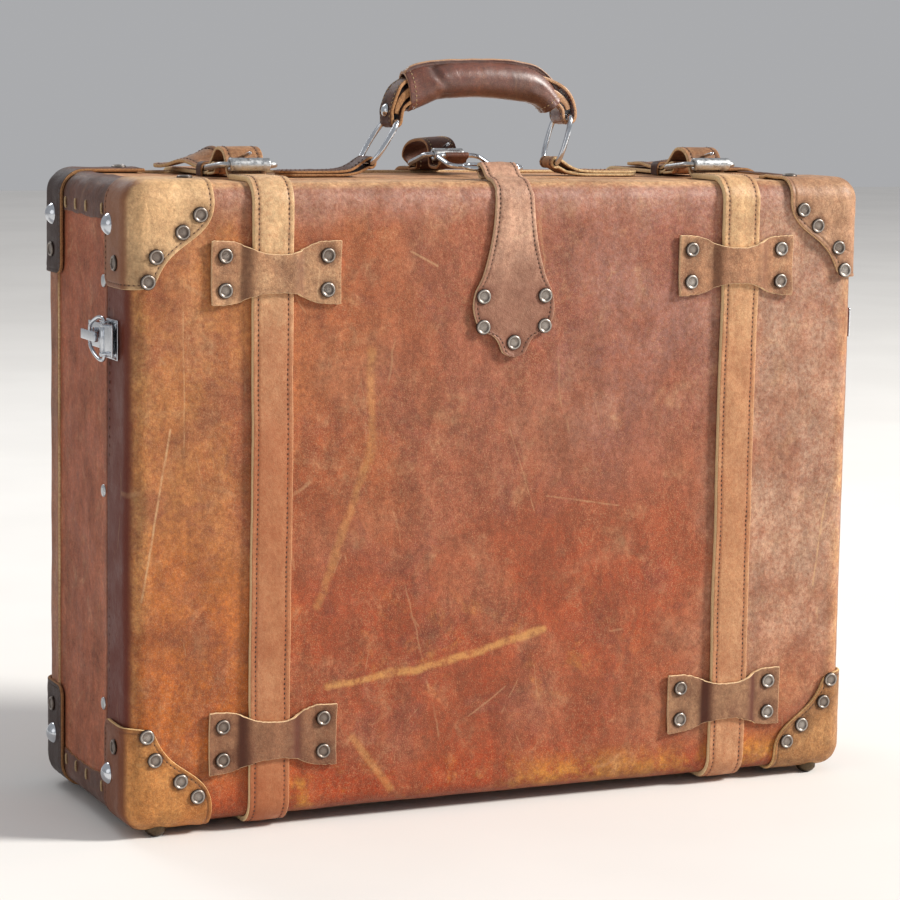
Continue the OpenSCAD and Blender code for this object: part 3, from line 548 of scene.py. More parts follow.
def leather(name, base, light, dark, cut=(222, 196, 150), grain=1.0, rough=0.5, coat=0.0,
            scuffs=0.5, mottle=0.5, panel=False, lit=(0.42, 0.64), shine=0.3, top=None):
    """Worn vegetable-tanned leather, with tints at three sizes, pores, creases and scuffs.
    A top colour, when given, is painted light: it makes the top face paler.
    """
    s = Shader(name)
    base, light, dark = rgb(*base), rgb(*light), rgb(*dark)
    big = s.noise(8.0, 4.0, 0.6, 0.5)
    mid = s.noise(31.0, 6.0, 0.66, 0.3)
    colour = s.mix(s.span(big, lit[0], lit[1]), base, light)
    if panel:
        colour = panel_tints(s, colour)
    # Painted light: the top face is made paler, as if lit from above.
    if top:
        colour = tinted(s, colour, 0.85, s.span(s.z, 0.4535, 0.4585), top)
    pale = s.mix(0.5, light, rgb(*cut))
    between = s.mix(0.5, dark, base)
    streak = s.noise(70.0, 5.0, 0.65, 0.2, s.stretch(1, 1, 0.2))
    bloom = s.noise(47.0, 7.0, 0.7, 0.5)
    fine = s.noise(330.0, 5.0, 0.7)
    speck = s.noise(1300.0, 3.0, 0.7)
    colour = s.mix(s.math("MULTIPLY", s.span(mid, 0.42, 0.82), mottle), colour, dark)
    colour = s.mix(s.math("MULTIPLY", s.span(streak, 0.46, 0.8), mottle * 0.7), colour, between)
    colour = s.mix(s.math("MULTIPLY", s.span(bloom, 0.5, 0.82), mottle * 0.7), colour, pale)
    colour = s.mix(s.math("MULTIPLY", s.span(fine, 0.36, 0.7), 0.6), colour, between)
    colour = s.mix(s.math("MULTIPLY", s.span(speck, 0.47, 0.7), 0.42), colour, pale)
    grit = s.noise(620.0, 5.0, 0.8)
    colour = s.mix(s.math("MULTIPLY", s.span(grit, 0.53, 0.68), 0.5), colour, dark)
    flecks = s.span(s.noise(260.0, 6.0, 0.78), 0.36, 0.64, 0.84, 1.14)
    clouds = s.noise(58.0, 6.0, 0.72, 0.4, s.stretch(1, 1, 0.45))
    clouds = s.span(clouds, 0.36, 0.64, 0.84, 1.14)
    colour = s.mix(1.0, colour, s.math("MULTIPLY", flecks, clouds), "MULTIPLY")
    curved = s.bent(21.0, 0.012)
    crack = s.cells(8.0, "DISTANCE_TO_EDGE", s.stretch(1, 1, 0.4, (0.3, 0.5, 0.2), curved))
    crack = s.math("MULTIPLY", s.span(crack, 0.0075, 0.0015),
                   s.span(s.noise(17.0, 3.0), 0.55, 0.62))
    nick = s.cells(37.0, "DISTANCE_TO_EDGE", s.stretch(1, 0.6, 0.3, (0.1, 0.7, 0.4), curved))
    nick = s.math("MULTIPLY", s.span(nick, 0.016, 0.004), s.span(s.noise(33.0, 3.0), 0.6, 0.66))
    scratch = s.math("MULTIPLY", s.math("MAXIMUM", crack, nick), scuffs)
    if panel:
        # Partly the lid leather's own darker tone and partly painted shade: the outer half of the
        # rounded corners and the strips on the end walls are darkened.
        ends = s.span(s.math("ABSOLUTE", s.x), 0.2835, 0.2885)
        colour = tinted(s, colour, 0.9, ends, (90, 30, 16))
        torn = s.span(s.noise(130.0, 5.0, 0.72), 0.34, 0.56, 0.3, 1.0)
        rubbed = s.math("MULTIPLY", strokes(s, RUBS, front_place(s, 45.0, 0.008)), torn)
        colour = s.mix(s.math("MULTIPLY", rubbed, 0.62), colour, rgb(214, 160, 92))
        long = s.math("MULTIPLY", strokes(s, SCRATCHES, front_place(s, 12.0, 0.006)), torn)
        scratch = s.math("MAXIMUM", s.math("MULTIPLY", scratch, 0.7), long)
    colour = s.mix(s.math("MULTIPLY", scratch, 0.7), colour, pale)
    # The dark mark: grime beside seams and rivets, and painted shade in the grip's folds, crease and
    # open ends.
    shade_and_dirt = s.mark("dark")
    colour = s.mix(s.math("MULTIPLY", shade_and_dirt, 0.72), colour, s.mix(0.6, dark, rgb(40, 22, 14)))
    # The tint mark darkens; in keeper creases, on guard end walls and under the grip it is painted
    # shade.
    colour = s.mix(s.math("MULTIPLY", s.mark("tint"), 0.75), colour, dark)
    fibre = s.noise(900.0, 4.0, 0.7)
    raw = s.mix(s.span(fibre, 0.35, 0.65), rgb(*cut), s.mix(0.55, rgb(*cut), base))
    colour = s.mix(s.span(s.mark("edge"), 0.35, 0.85), colour, raw)
    s.set("Base Color", colour)
    gloss = s.span(mid, 0.3, 0.7, rough - 0.08, rough + 0.12)
    s.set("Roughness", s.math("ADD", gloss, s.math("MULTIPLY", s.mark("edge"), 0.3)))
    s.set("Coat Weight", coat)
    s.set("Coat Roughness", 0.42)
    s.set("Sheen Weight", 0.03)
    s.set("Sheen Roughness", 0.5)
    s.set("Specular IOR Level", shine)
    pores = s.cells(1150.0)
    wrinkle = s.noise(330.0, 4.0, 0.6, 0.5)
    soft = s.noise(75.0, 3.0, 0.5)
    n = s.bump(soft, 0.4, 0.0018)
    n = s.bump(wrinkle, 0.45 * grain, 0.0006, n)
    n = s.bump(pores, 0.35 * grain, 0.0003, n)
    n = s.bump(scratch, -0.5, 0.0004, n)
    s.set("Normal", n)
    return s.mat


def close_to(s, value, middle, far, near):
    """1 where a value is within near of the middle, 0 where it is far from it."""
    return s.span(s.math("ABSOLUTE", s.math("SUBTRACT", value, middle)), far, near)


def tinted(s, colour, amount, where, shade):
    """Lays a shade over a colour, by an amount, where the mask is 1."""
    return s.mix(s.math("MULTIPLY", where, amount), colour, rgb(*shade))


def panel_tints(s, colour):
    """Shades of the large front panel: tan at the left, purple brown in the middle, paler
    at the right, orange red low down, with rubbed yellow patches.  The rounded ends are
    darkened, partly their own tone and partly painted shade, and the top face is made
    paler as painted light."""
    warp = s.math("MULTIPLY", s.math("SUBTRACT", s.noise(9.0, 5.0, 0.62), 0.5), 0.22)
    across = s.math("ADD", s.x, warp)
    height = s.math("ADD", s.z, warp)
    front = s.span(s.y, -0.088, -0.094)
    centre = s.math("MULTIPLY", s.span(across, -0.14, -0.02), s.span(height, 0.14, 0.27))
    colour = tinted(s, colour, 0.85, centre, (148, 87, 68))
    upper = s.math("MULTIPLY", s.span(across, -0.02, 0.1), s.span(height, 0.24, 0.34))
    colour = tinted(s, colour, 0.85, upper, (148, 104, 94))
    right = s.math("MULTIPLY", s.span(across, 0.13, 0.22), s.span(height, 0.04, 0.16))
    colour = tinted(s, colour, 0.85, right, (190, 156, 132))
    low = s.math("MULTIPLY", s.span(height, 0.27, 0.14), s.span(across, 0.2, 0.1))
    colour = tinted(s, colour, 0.85, low, (152, 60, 30))
    left = s.math("MULTIPLY", s.span(across, -0.16, -0.22), front)
    colour = tinted(s, colour, 0.9, left, (182, 119, 66))
    left_low = s.math("MULTIPLY", left, s.span(height, 0.24, 0.12))
    colour = tinted(s, colour, 0.8, left_low, (184, 94, 18))
    rusty = s.math("MULTIPLY", s.span(s.noise(15.0, 5.0, 0.65), 0.5, 0.62), front)
    colour = tinted(s, colour, 0.35, rusty, (146, 66, 34))
    smoky = s.math("MULTIPLY", s.span(s.noise(12.0, 5.0, 0.6, 0.4), 0.5, 0.66), front)
    colour = tinted(s, colour, 0.3, smoky, (170, 120, 92))
    plum = s.math("MULTIPLY", s.span(s.noise(19.0, 6.0, 0.7, 0.6), 0.5, 0.64), front)
    colour = tinted(s, colour, 0.42, plum, (116, 62, 58))
    worn = s.math("MULTIPLY", s.span(s.math("ABSOLUTE", s.x), 0.27, 0.284),
                  s.span(s.noise(26.0, 5.0, 0.7), 0.36, 0.6))
    colour = tinted(s, colour, 0.5, s.math("MULTIPLY", worn, front), (222, 170, 104))
    foot = s.span(s.math("ADD", s.z, s.math("MULTIPLY", warp, 0.3)), 0.06, 0.025)
    colour = tinted(s, colour, 0.85, foot, (158, 52, 6))
    rim = s.math("MULTIPLY", s.span(s.math("ADD", s.z, s.math("MULTIPLY", warp, 0.2)), 0.046, 0.02),
                 s.span(s.noise(13.0, 6.0, 0.72), 0.47, 0.6))
    colour = tinted(s, colour, 0.85, rim, (206, 142, 54))
    sole = s.span(s.math("ADD", s.z, s.math("MULTIPLY", warp, 0.05)), 0.017, 0.009)
    colour = tinted(s, colour, 0.8, sole, (112, 42, 16))
    brow = s.span(s.math("ADD", s.z, s.math("MULTIPLY", warp, 0.2)), 0.425, 0.452)
    colour = tinted(s, colour, 0.7, brow, (176, 139, 126))
    # Painted light: the top face is made much paler, as if lit from above.
    above = s.span(s.z, 0.4535, 0.4585)
    colour = tinted(s, colour, 0.85, above, (230, 184, 132))
    rub = s.noise(24.0, 7.0, 0.75, 0.8)
    middle = s.math("MULTIPLY", close_to(s, s.x, -0.02, 0.15, 0.07),
                    close_to(s, s.z, 0.12, 0.06, 0.02))
    patch = s.math("MULTIPLY", s.span(rub, 0.52, 0.68), middle)
    colour = tinted(s, colour, 0.6, patch, (204, 134, 64))
    there = s.math("MULTIPLY", close_to(s, s.x, -0.02, 0.12, 0.05),
                   close_to(s, s.z, 0.155, 0.06, 0.02))
    bruise = s.math("MULTIPLY", s.span(s.noise(31.0, 6.0, 0.7, 0.6), 0.56, 0.66), there)
    return tinted(s, colour, 0.6, bruise, (96, 44, 34))


# Worn lines on the front: points in x and z (metres), half width, strength.
RUBS = (
    (((-0.11, 0.34), (-0.11, 0.27), (-0.15, 0.16)), 0.005, 0.4),
    (((-0.14, 0.1), (-0.06, 0.11), (0.03, 0.13)), 0.0045, 0.9),
    (((-0.12, 0.06), (-0.09, 0.02)), 0.0045, 0.5),
)
SCRATCHES = (
    (((-0.26, 0.29), (-0.28, 0.17)), 0.0012, 1.0),
    (((-0.25, 0.37), (-0.25, 0.27)), 0.0008, 0.5),
    (((0.0, 0.28), (0.02, 0.22)), 0.0008, 0.4),
    (((0.03, 0.23), (0.09, 0.22)), 0.001, 0.5),
    (((0.27, 0.22), (0.26, 0.15)), 0.0012, 0.9),
    (((-0.08, 0.41), (-0.06, 0.4)), 0.0012, 0.7),
    (((-0.03, 0.07), (0.0, 0.09)), 0.001, 0.5),
)


def strokes(s, lines, place):
    """Where the worn lines are: each has its points, its width and its strength."""
    total = 0.0
    for points, wide, strength in lines:
        for a, b in zip(points[:-1], points[1:]):
            one = s.math("MULTIPLY", near_line(s, place, a, b, wide), strength)
            total = s.math("MAXIMUM", total, one)
    return s.math("MULTIPLY", total, s.span(s.y, -0.09, -0.096))


def front_place(s, size, amount):
    """The place on the front, its x and z pushed about by a soft noise."""
    drift = s.math("MULTIPLY", s.math("SUBTRACT", s.noise(size, 3.0, 0.55), 0.5), amount)
    made = s.node("ShaderNodeCombineXYZ")
    s.put(s.math("ADD", s.x, drift), made.inputs[0])
    s.put(s.math("SUBTRACT", s.z, drift), made.inputs[2])
    return made.outputs[0]


def metal(name, colour, worn, rough=0.25, spots=0.4, grain=220.0, metallic=1.0, aged=0.0):
    """Plated metal with tarnish in patches, fine marks and, on old rivets, a tint each."""
    s = Shader(name)
    patch = s.span(s.noise(grain, 5.0, 0.65, 0.5), 0.48, 0.7)
    base = s.mix(s.math("MULTIPLY", patch, spots), rgb(*colour), rgb(*worn))
    if aged:
        base = s.mix(s.math("MULTIPLY", s.mark("tint"), aged), base, rgb(96, 72, 54))
        base = s.mix(s.math("MULTIPLY", s.mark("dark"), 0.9), base, rgb(46, 32, 26))
        # The edge mark on rivet heads: the ring made pale, partly polish, partly a painted highlight.
        base = s.mix(s.math("MULTIPLY", s.mark("edge"), 0.7), base, rgb(214, 208, 200))
    s.set("Base Color", base)
    s.set("Metallic", metallic)
    s.set("Roughness", s.span(s.noise(grain * 1.7, 4.0, 0.6), 0.3, 0.75, rough * 0.7, rough * 1.6))
    lines = s.noise(900.0, 2.0, 0.5, 0.0, s.stretch(0.12, 1, 1))
    n = s.bump(s.noise(grain * 2, 3.0, 0.6), 0.12, 0.0004)
    n = s.bump(lines, 0.06, 0.0002, n)
    s.set("Normal", n)
    return s.mat


def cloth(name, base, dark):
    """Plain-woven cotton lining."""
    s = Shader(name)
    warp = s.math("SINE", s.math("MULTIPLY", s.math("ADD", s.x, s.y), 5200.0))
    weft = s.math("SINE", s.math("MULTIPLY", s.math("ADD", s.z, s.y), 5200.0))
    weave = s.math("MULTIPLY", warp, weft)
    stain = s.span(s.noise(14.0, 5.0, 0.6), 0.42, 0.68)
    colour = s.mix(s.math("MULTIPLY", stain, 0.5), rgb(*base), rgb(*dark))
    colour = s.mix(s.span(weave, -1.0, 1.0, 0.0, 0.22), colour, rgb(*dark))
    s.set("Base Color", colour)
    s.set("Roughness", 0.9)
    s.set("Sheen Weight", 0.3)
    n = s.bump(weave, 0.4, 0.0002)
    s.set("Normal", s.bump(s.noise(120.0, 3.0), 0.3, 0.0008, n))
    return s.mat


def board(name):
    """Grey-brown fibre board."""
    s = Shader(name)
    layer = s.noise(500.0, 4.0, 0.6, 0.0, s.stretch(0.15, 0.15, 1))
    speck = s.noise(700.0, 3.0, 0.7)
    colour = s.mix(s.span(layer, 0.35, 0.65), rgb(150, 120, 84), rgb(112, 86, 58))
    colour = s.mix(s.math("MULTIPLY", s.span(speck, 0.5, 0.7), 0.4), colour, rgb(82, 60, 40))
    s.set("Base Color", colour)
    s.set("Roughness", 0.92)
    s.set("Normal", s.bump(speck, 0.4, 0.0004))
    return s.mat


def thread(name, base, light):
    """Waxed linen thread: twisted strands, darker in some stitches."""
    s = Shader(name)
    twist = s.noise(1400.0, 2.0, 0.5, 0.0, s.stretch(1, 1, 2.2, (0.6, 0.4, 0.8)))
    colour = s.mix(s.span(twist, 0.35, 0.65), rgb(*base), rgb(*light))
    colour = s.mix(s.math("MULTIPLY", s.mark("tint"), 0.4), colour, rgb(*base))
    s.set("Base Color", colour)
    s.set("Roughness", 0.6)
    s.set("Normal", s.bump(twist, 0.5, 0.0003))
    return s.mat


def floor_material():
    """The pale floor, with a barely seen unevenness."""
    s = Shader("floor_pale")
    faint = s.noise(3.0, 3.0, 0.5)
    s.set("Base Color", s.mix(s.span(faint, 0.3, 0.7), rgb(236, 234, 231), rgb(231, 229, 226)))
    s.set("Roughness", 0.85)
    return s.mat


PANEL = leather("panel_leather", (154, 80, 46), (168, 98, 58), (106, 52, 36), panel=True,
                mottle=0.75, rough=0.5, shine=0.26)
# SIDE and BACKING take a top colour, which is painted light on their top faces.
SIDE = leather("side_leather", (165, 86, 56), (178, 99, 66), (92, 46, 34), mottle=0.85,
               scuffs=0.3, rough=0.58, shine=0.2, top=(214, 168, 120))
BACKING = leather("back_leather", (150, 86, 52), (166, 98, 60), (96, 52, 34), mottle=0.7,
                  top=(190, 140, 96))
STRAP = leather("strap_leather", (206, 167, 122), (214, 177, 134), (152, 72, 34), mottle=0.5,
                scuffs=0.3, cut=(236, 212, 164))
TAIL = leather("tail_leather", (146, 98, 64), (176, 128, 88), (74, 40, 28), mottle=0.6,
               scuffs=0.4, cut=(232, 204, 156))
KEEPER = leather("keeper_leather", (174, 123, 88), (204, 158, 116), (88, 46, 30), mottle=1.0,
                 scuffs=0.4, cut=(236, 208, 164))
GUARD_TAN = leather("guard_leather_tan", (210, 168, 121), (218, 180, 134), (124, 74, 48),
                    mottle=0.45, scuffs=0.3, cut=(232, 200, 148))
GUARD_ORANGE = leather("guard_leather_orange", (180, 112, 52), (200, 138, 74), (104, 52, 28),
                       mottle=0.5, scuffs=0.4, cut=(236, 204, 146))
GUARD_OLD = leather("guard_leather_old", (150, 98, 52), (176, 124, 76), (90, 50, 30),
                    mottle=0.65, scuffs=0.4, cut=(236, 204, 146))
GUARD_BROWN = leather("guard_leather_brown", (168, 122, 90), (196, 154, 120), (104, 60, 40),
                      mottle=0.55, scuffs=0.4, cut=(232, 200, 152))
DARK = leather("dark_leather", (84, 46, 34), (106, 62, 46), (44, 24, 18), mottle=0.6,
               scuffs=0.35, cut=(176, 130, 86), rough=0.5, shine=0.28)
TAB = leather("tab_leather", (193, 146, 120), (210, 166, 140), (108, 58, 40), mottle=0.7,
              scuffs=0.3, grain=1.3, cut=(226, 200, 158))
GRIP = leather("grip_leather", (98, 44, 28), (122, 60, 40), (52, 22, 16), mottle=0.5,
               scuffs=0.25, rough=0.42, coat=0.9, shine=0.5, cut=(196, 150, 104))
ROUGH = leather("rough_leather", (156, 108, 70), (186, 140, 96), (100, 62, 40), mottle=0.7,
                scuffs=0.5, rough=0.68, grain=2.0)
LOOP = leather("loop_leather", (64, 36, 28), (84, 48, 36), (36, 20, 16), mottle=0.5, rough=0.5,
               cut=(150, 108, 70))
THREAD_DARK = thread("thread_dark", (58, 34, 22), (92, 58, 36))
THREAD_PALE = thread("thread_pale", (150, 120, 84), (198, 172, 130))
STEEL = metal("bright_steel", (206, 210, 216), (150, 150, 150), rough=0.16, spots=0.3)
SATIN = metal("satin_steel", (196, 198, 200), (138, 130, 118), rough=0.34, spots=0.45)
RIVET = metal("antique_metal", (172, 164, 156), (122, 106, 94), rough=0.34, spots=0.55,
              grain=420.0, metallic=0.85, aged=0.6)
HINGE = metal("hinge_metal", (150, 140, 120), (104, 84, 60), rough=0.38, spots=0.5)
FOOT_METAL = metal("foot_metal", (92, 78, 62), (56, 42, 32), rough=0.42, spots=0.6)
BOARD = board("board_fibre")
LINING = cloth("lining_cotton", (188, 164, 124), (142, 116, 82))


def paint(node, mat):
    """Gives a CAD node's own mesh a material."""
    obj = frame["nodes"][node]
    obj.data.materials.clear()
    obj.data.materials.append(mat)


# ------------------------------------------------------------ leather shells

def box_lines(lo, hi, step):
    """Grid lines from lo to hi, closer together over the rounded edges at both ends."""
    turn = EDGE_R * np.tan(np.radians(np.linspace(45, 0, 7)))
    inside = np.linspace(lo + EDGE_R, hi - EDGE_R, int((hi - lo - 2 * EDGE_R) / step) + 1)
    return np.concatenate([lo + EDGE_R - turn[:-1], inside, hi - EDGE_R + turn[::-1][1:]])


def half_lines(face, seam, step):
    """Depths from the face's edge to the seam, closer together over the rounded edge."""
    sign = 1 if seam > face else -1
    turn = EDGE_R * np.tan(np.radians(np.linspace(45, 0, 7)))
    start = face + sign * EDGE_R
    n = max(2, int(abs(seam - sign * 2 - start) / step))
    body = np.linspace(start, seam - sign * 2.0, n + 1)
    close = seam - sign * np.array([1.2, 0.6, 0.25])
    return np.concatenate([start - sign * turn[:-1], body, close])


def face_grid(face, step):
    """A face's grid of points, its two counts, and the points round its rim in order."""
    xs = box_lines(-END, END, step)
    zs = box_lines(FOOT, TOP, step)
    nx, nz = len(xs), len(zs)
    gx, gz = np.meshgrid(xs, zs, indexing="ij")
    flat = np.stack([gx, np.full_like(gx, face), gz], -1).reshape(-1, 3)
    loop = ([(i, 0) for i in range(nx)] + [(nx - 1, j) for j in range(1, nz)]
            + [(i, nz - 1) for i in range(nx - 2, -1, -1)]
            + [(0, j) for j in range(nz - 2, 0, -1)])
    return flat, nx, nz, np.array([i * nz + j for i, j in loop])


def shell(name, face, seam, mats, body, slot, replaces, seed=3):
    """Half of the case's leather: one face and the band round it, ending at the seam."""
    step, inner, wall, rolled, wave = 5.0, -6.4, 2.0, 1.0, 0.35
    sign = 1 if seam > face else -1
    ys = half_lines(face, seam, step)
    flat, nx, nz, around = face_grid(face, step)
    m = len(around)
    band = []
    for y in ys[1:]:
        ring = flat[around].copy()
        ring[:, 1] = y
        band.append(ring)
    box = np.concatenate([flat] + band)
    near_seam = np.abs(box[:, 1] - seam)
    h = -rolled * (1 - np.sqrt(np.clip(1 - (1 - np.clip(near_seam / rolled, 0, 1)) ** 2, 0, 1)))
    calm = smooth(0.5, 6, near_seam)
    h -= calm * np.clip(wave + wave * waves(box, 120, seed) + 0.14 * waves(box, 34, seed + 1), 0, 1.4)
    outer = skin(box, h)
    faces = grid_faces(nx, nz, flip=sign < 0)
    starts = [around] + [nx * nz + k * m + np.arange(m) for k in range(len(ys) - 1)]
    for a, b in zip(starts[:-1], starts[1:]):
        for k in range(m):
            q = [a[k], b[k], b[(k + 1) % m], a[(k + 1) % m]]
            faces.append(q if sign < 0 else q[::-1])
    shell_faces = len(faces)
    last = box[starts[-1]].copy()
    rings = [outer]
    count = len(outer)
    previous = starts[-1]
    edge_y = seam - sign * (GAP - 0.08)
    for depth, y in ((-1.2, edge_y), (-2.4, edge_y), (inner, edge_y), (inner, edge_y - sign * 0.08),
                     (-wall, edge_y - sign * 0.08)):
        ring = last.copy()
        ring[:, 1] = seam - sign * 2
        ring = skin(ring, np.full(m, depth))
        ring[:, 1] = y
        rings.append(ring)
        current = np.arange(count, count + m)
        for k in range(m):
            q = [previous[k], current[k], current[(k + 1) % m], previous[(k + 1) % m]]
            faces.append(q if sign < 0 else q[::-1])
        previous = current
        count += m
    inside = skin(box, np.full(len(box), -wall))
    rings.append(inside)
    for k in range(m):
        q = [previous[k], count + starts[-1][k], count + starts[-1][(k + 1) % m],
             previous[(k + 1) % m]]
        faces.append(q if sign < 0 else q[::-1])
    faces += [[i + count for i in f[::-1]] for f in faces[:shell_faces]]
    verts = np.concatenate(rings)
    piece = Piece()
    edge = np.zeros(len(verts))
    edge[len(outer) + m:len(outer) + 5 * m] = 0.7
    soil = np.zeros(len(verts))
    soil[:len(outer)] = 0.75 * np.exp(-(near_seam / 2.2) ** 2)
    piece.add(verts, faces, 0, edge=edge, dark=soil)
    return piece, (name, mats, body, slot, replaces)


def lid_leather():
    """The lid's cover, with a dark seam beside the parting line on the end walls."""
    piece, rest = shell("lid_leather", FRONT, SEAM - GAP, [PANEL, THREAD_DARK], "lid",
                        "panel_leather", "lid_cover")
    for side in (-1, 1):
        zs = np.linspace(FOOT + 78, TOP - 78, 80)
        line = np.stack([np.full(80, side * (END - 0.35)), np.full(80, SEAM - 4.5), zs], -1)
        out = np.tile([side, 0.0, 0.0], (80, 1))
        stitches(piece, line, out, mat=1, pitch=6.4, long=3.2, r=0.45, seed=side + 9)
    piece.build(*rest)


def case_leather():
    """The cover of the deep half."""
    piece, rest = shell("case_leather", BACK, SEAM + GAP, [SIDE], "case", "side_leather",
                        "case_cover", seed=8)
    piece.build(*rest)


def back_leather():
    """The leather wrapped over the back, whose raised cut edge shows on the walls."""
    rim = WRAP_Y + np.array([1.2, 0.6, 0.2, 0.0])
    ys = np.concatenate([half_lines(BACK, WRAP_Y, 4.0)[:-3], rim])
    flat, nx, nz, around = face_grid(BACK, 6.0)
    m = len(around)
    rings = [flat]
    along = lengths(np.concatenate([flat[around], flat[around][:1]]))[:-1]
    for y in ys[1:]:
        ring = flat[around].copy()
        ring[:, 1] = y + 0.35 * waves_1d(along, 60, 5) * (1 if y < WRAP_Y + 8 else 0)
        rings.append(ring)
    box = np.concatenate(rings)
    faces = grid_faces(nx, nz)
    starts = [around] + [nx * nz + k * m + np.arange(m) for k in range(len(ys) - 1)]
    for a, b in zip(starts[:-1], starts[1:]):
        for k in range(m):
            faces.append([int(q) for q in (a[(k + 1) % m], b[(k + 1) % m], b[k], a[k])])
    d = box[:, 1] - WRAP_Y
    h = edge_profile(np.maximum(d, 0), WRAP + 0.5, 0.7)
    h = np.where(box[:, 1] > WRAP_Y + 20, WRAP, h)
    h -= smooth(2, 8, d) * np.clip(0.5 + 0.25 * waves(box, 90, 4) + 0.1 * waves(box, 25, 6), 0, 0.9)
    edge = np.clip(1.2 - d / 0.6, 0, 1)
    soil = 0.5 * np.exp(-(((d - 14) / 0.8) ** 2))
    piece = Piece()
    slab(piece, skin(box, h), skin(box, np.full(len(box), -0.6)), faces, edge=edge, dark=soil)
    piece.build("back_leather", [BACKING], "case", "side_leather", "back_wrap")


# ------------------------------------------------------------ rivets

CAP = ((RIVET_R, -0.6), (RIVET_R, 0.4), (5.35, 0.85), (4.9, 1.4), (4.35, 1.62), (3.9, 1.45),
       (3.45, 0.95), (2.9, 0.8), (1.5, 0.9), (0.0, 0.95))
# The raised ring of each head is made pale: partly polish from rubbing, partly a painted highlight.
CAP_POLISH_AND_HIGHLIGHT = (0, 0, 0, 0.1, 0.45, 0.15, 0, 0, 0.05, 0.1)
CAP_DIRT = (1, 1, 0.9, 0.35, 0.05, 0.3, 0.75, 0.5, 0.2, 0.1)


def scaled(profile, k):
    """A profile with its radii times k and its heights kept."""
    return tuple((r * k, h) for r, h in profile)


def cap(piece, centre, out, seed, size=1.0, old=None):
    """One rivet head: a dished middle in a raised ring."""
    rng = np.random.default_rng(seed)
    tint = rng.uniform(0, 1) if old is None else old
    lathe(piece, centre, out, scaled(CAP, size), tint=tint, tilt=0.035, seed=seed,
          edge=CAP_POLISH_AND_HIGHLIGHT, dark=CAP_DIRT)


class Rivets:
    """The rivets of one body, remembered so that the leather under them can be marked."""

    def __init__(self):
        self.piece = Piece()
        self.places = []

    def add(self, centre, out, size=1.0, old=None):
        self.places.append((np.array(centre, float), np.array(out, float), size))
        cap(self.piece, centre, out, 100 + len(self.places), size, old)


def press(piece, places, depth=0.5, reach=3.2):
    """Sinks the leather round each rivet and darkens it there."""
    for k, verts in enumerate(piece.v):
        verts = verts.copy()
        soil = piece.marks["dark"][k].copy()
        for centre, out, size in places:
            rel = verts - centre
            up = rel @ out
            flat = np.linalg.norm(rel - up[:, None] * out, axis=1)
            close = np.abs(up) < 6
            r = RIVET_R * size
            amount = np.exp(-(np.maximum(flat - r * 0.8, 0) / reach) ** 2) * close
            swell = 0.25 * np.exp(-((flat - r - 3.5) / 1.8) ** 2) * close
            verts -= out * (amount * depth - swell * depth)[:, None]
            soil = np.maximum(soil, np.exp(-((flat - r - 0.1) / 1.2) ** 2) * close)
            soil = np.maximum(soil, 0.35 * np.exp(-((flat - r) / 4.5) ** 2) * close)
        piece.v[k] = verts
        piece.marks["dark"][k] = soil


LID_RIVETS = Rivets()
CASE_RIVETS = Rivets()


# ------------------------------------------------------------ straps

def profile_frames(pts, x, sign):
    """Centre, side and outward directions of a strip whose line is pts in y and z."""
    t = unit(np.gradient(pts, axis=0))
    out = np.stack([np.zeros(len(pts)), t[:, 1] * sign, -t[:, 0] * sign], -1)
    centre = np.stack([np.full(len(pts), float(x)), pts[:, 0], pts[:, 1]], -1)
    side = np.tile([1.0, 0.0, 0.0], (len(pts), 1))
    return centre, side, out


def upright_frames(pts, sign=1):
    """The same for a line in x and z above the case's top, with the strip along y."""
    t = unit(np.gradient(pts, axis=0))
    flat = np.zeros(len(pts))
    out = np.stack([-t[:, 1] * sign, flat, t[:, 0] * sign], -1)
    centre = np.stack([pts[:, 0], flat, TOP + pts[:, 1]], -1)
    return centre, np.tile([0.0, 1.0, 0.0], (len(pts), 1)), out


def half_loop(face, offset, y_top, y_bottom):
    """The line (y, z) from y_top on the top, over one face of the case, to y_bottom under it."""
    sign = -1 if face < 0 else 1
    r = EDGE_R + offset
    y0 = face - sign * EDGE_R
    arc = np.radians(np.linspace(0, 90, 10))
    pts = [[y_top, TOP + offset]]
    pts += [[y0 + sign * r * math.sin(a), TOP - EDGE_R + r * math.cos(a)] for a in arc]
    pts += [[y0 + sign * r * math.cos(a), FOOT + EDGE_R - r * math.sin(a)] for a in arc]
    pts += [[y_bottom, FOOT - offset]]
    return np.array(pts)


def even(pts, step=3.0, ends=(0.3, 1.0)):
    """Even steps along pts, with two rows close to each end for a rounded cut."""
    extra = [ends[0], ends[1], -ends[0], -ends[1]]
    return resample(pts, step=step, extra=extra)


def wobble(width, s, seed, amount=0.25):
    """A half width that wanders a little, as hand-cut leather does."""
    return width / 2 + amount * waves_1d(s, 70, seed) + amount * 0.3 * waves_1d(s, 9, seed + 1)


def front_strap(side):
    """The front run of a long strap, darker and more worn towards the bottom."""
    x = side * STRAP_X
    pts = even(half_loop(FRONT, 0.05, SEAM - 0.4, SEAM - 3.1))
    s = lengths(pts)
    centre, across, out = profile_frames(pts, x, 1)
    worn = smooth(TOP - 40, TOP - 130, pts[:, 1]) * (0.85 + 0.15 * waves_1d(s, 120, 8 + side))
    shift = 0.6 * waves_1d(s, 200, 5 + side) * smooth(0, 40, s) * smooth(0, 40, s[-1] - s)
    centre[:, 0] += shift
    piece = Piece()
    ribbon(piece, centre, across, out, wobble(STRAP_W, s, 3 + side),
           wobble(STRAP_W, s, 13 + side), STRAP_T, stitch=(4.0,), seed=21 + side,
           thread=1, crown=0.25, tint=(1.0 if side < 0 else 0.75) * worn)
    name = HAND[side]
    return piece, ("strap_front_" + name, [STRAP, THREAD_DARK], "lid", "strap_leather",
                   "strap_front_" + name)


HEEL_Y, HEEL_H = -17.0, 7.0
FRONT_BAR_Y, FRONT_BAR_H = -51.0, 10.5
TAIL_FLAT = 5.5


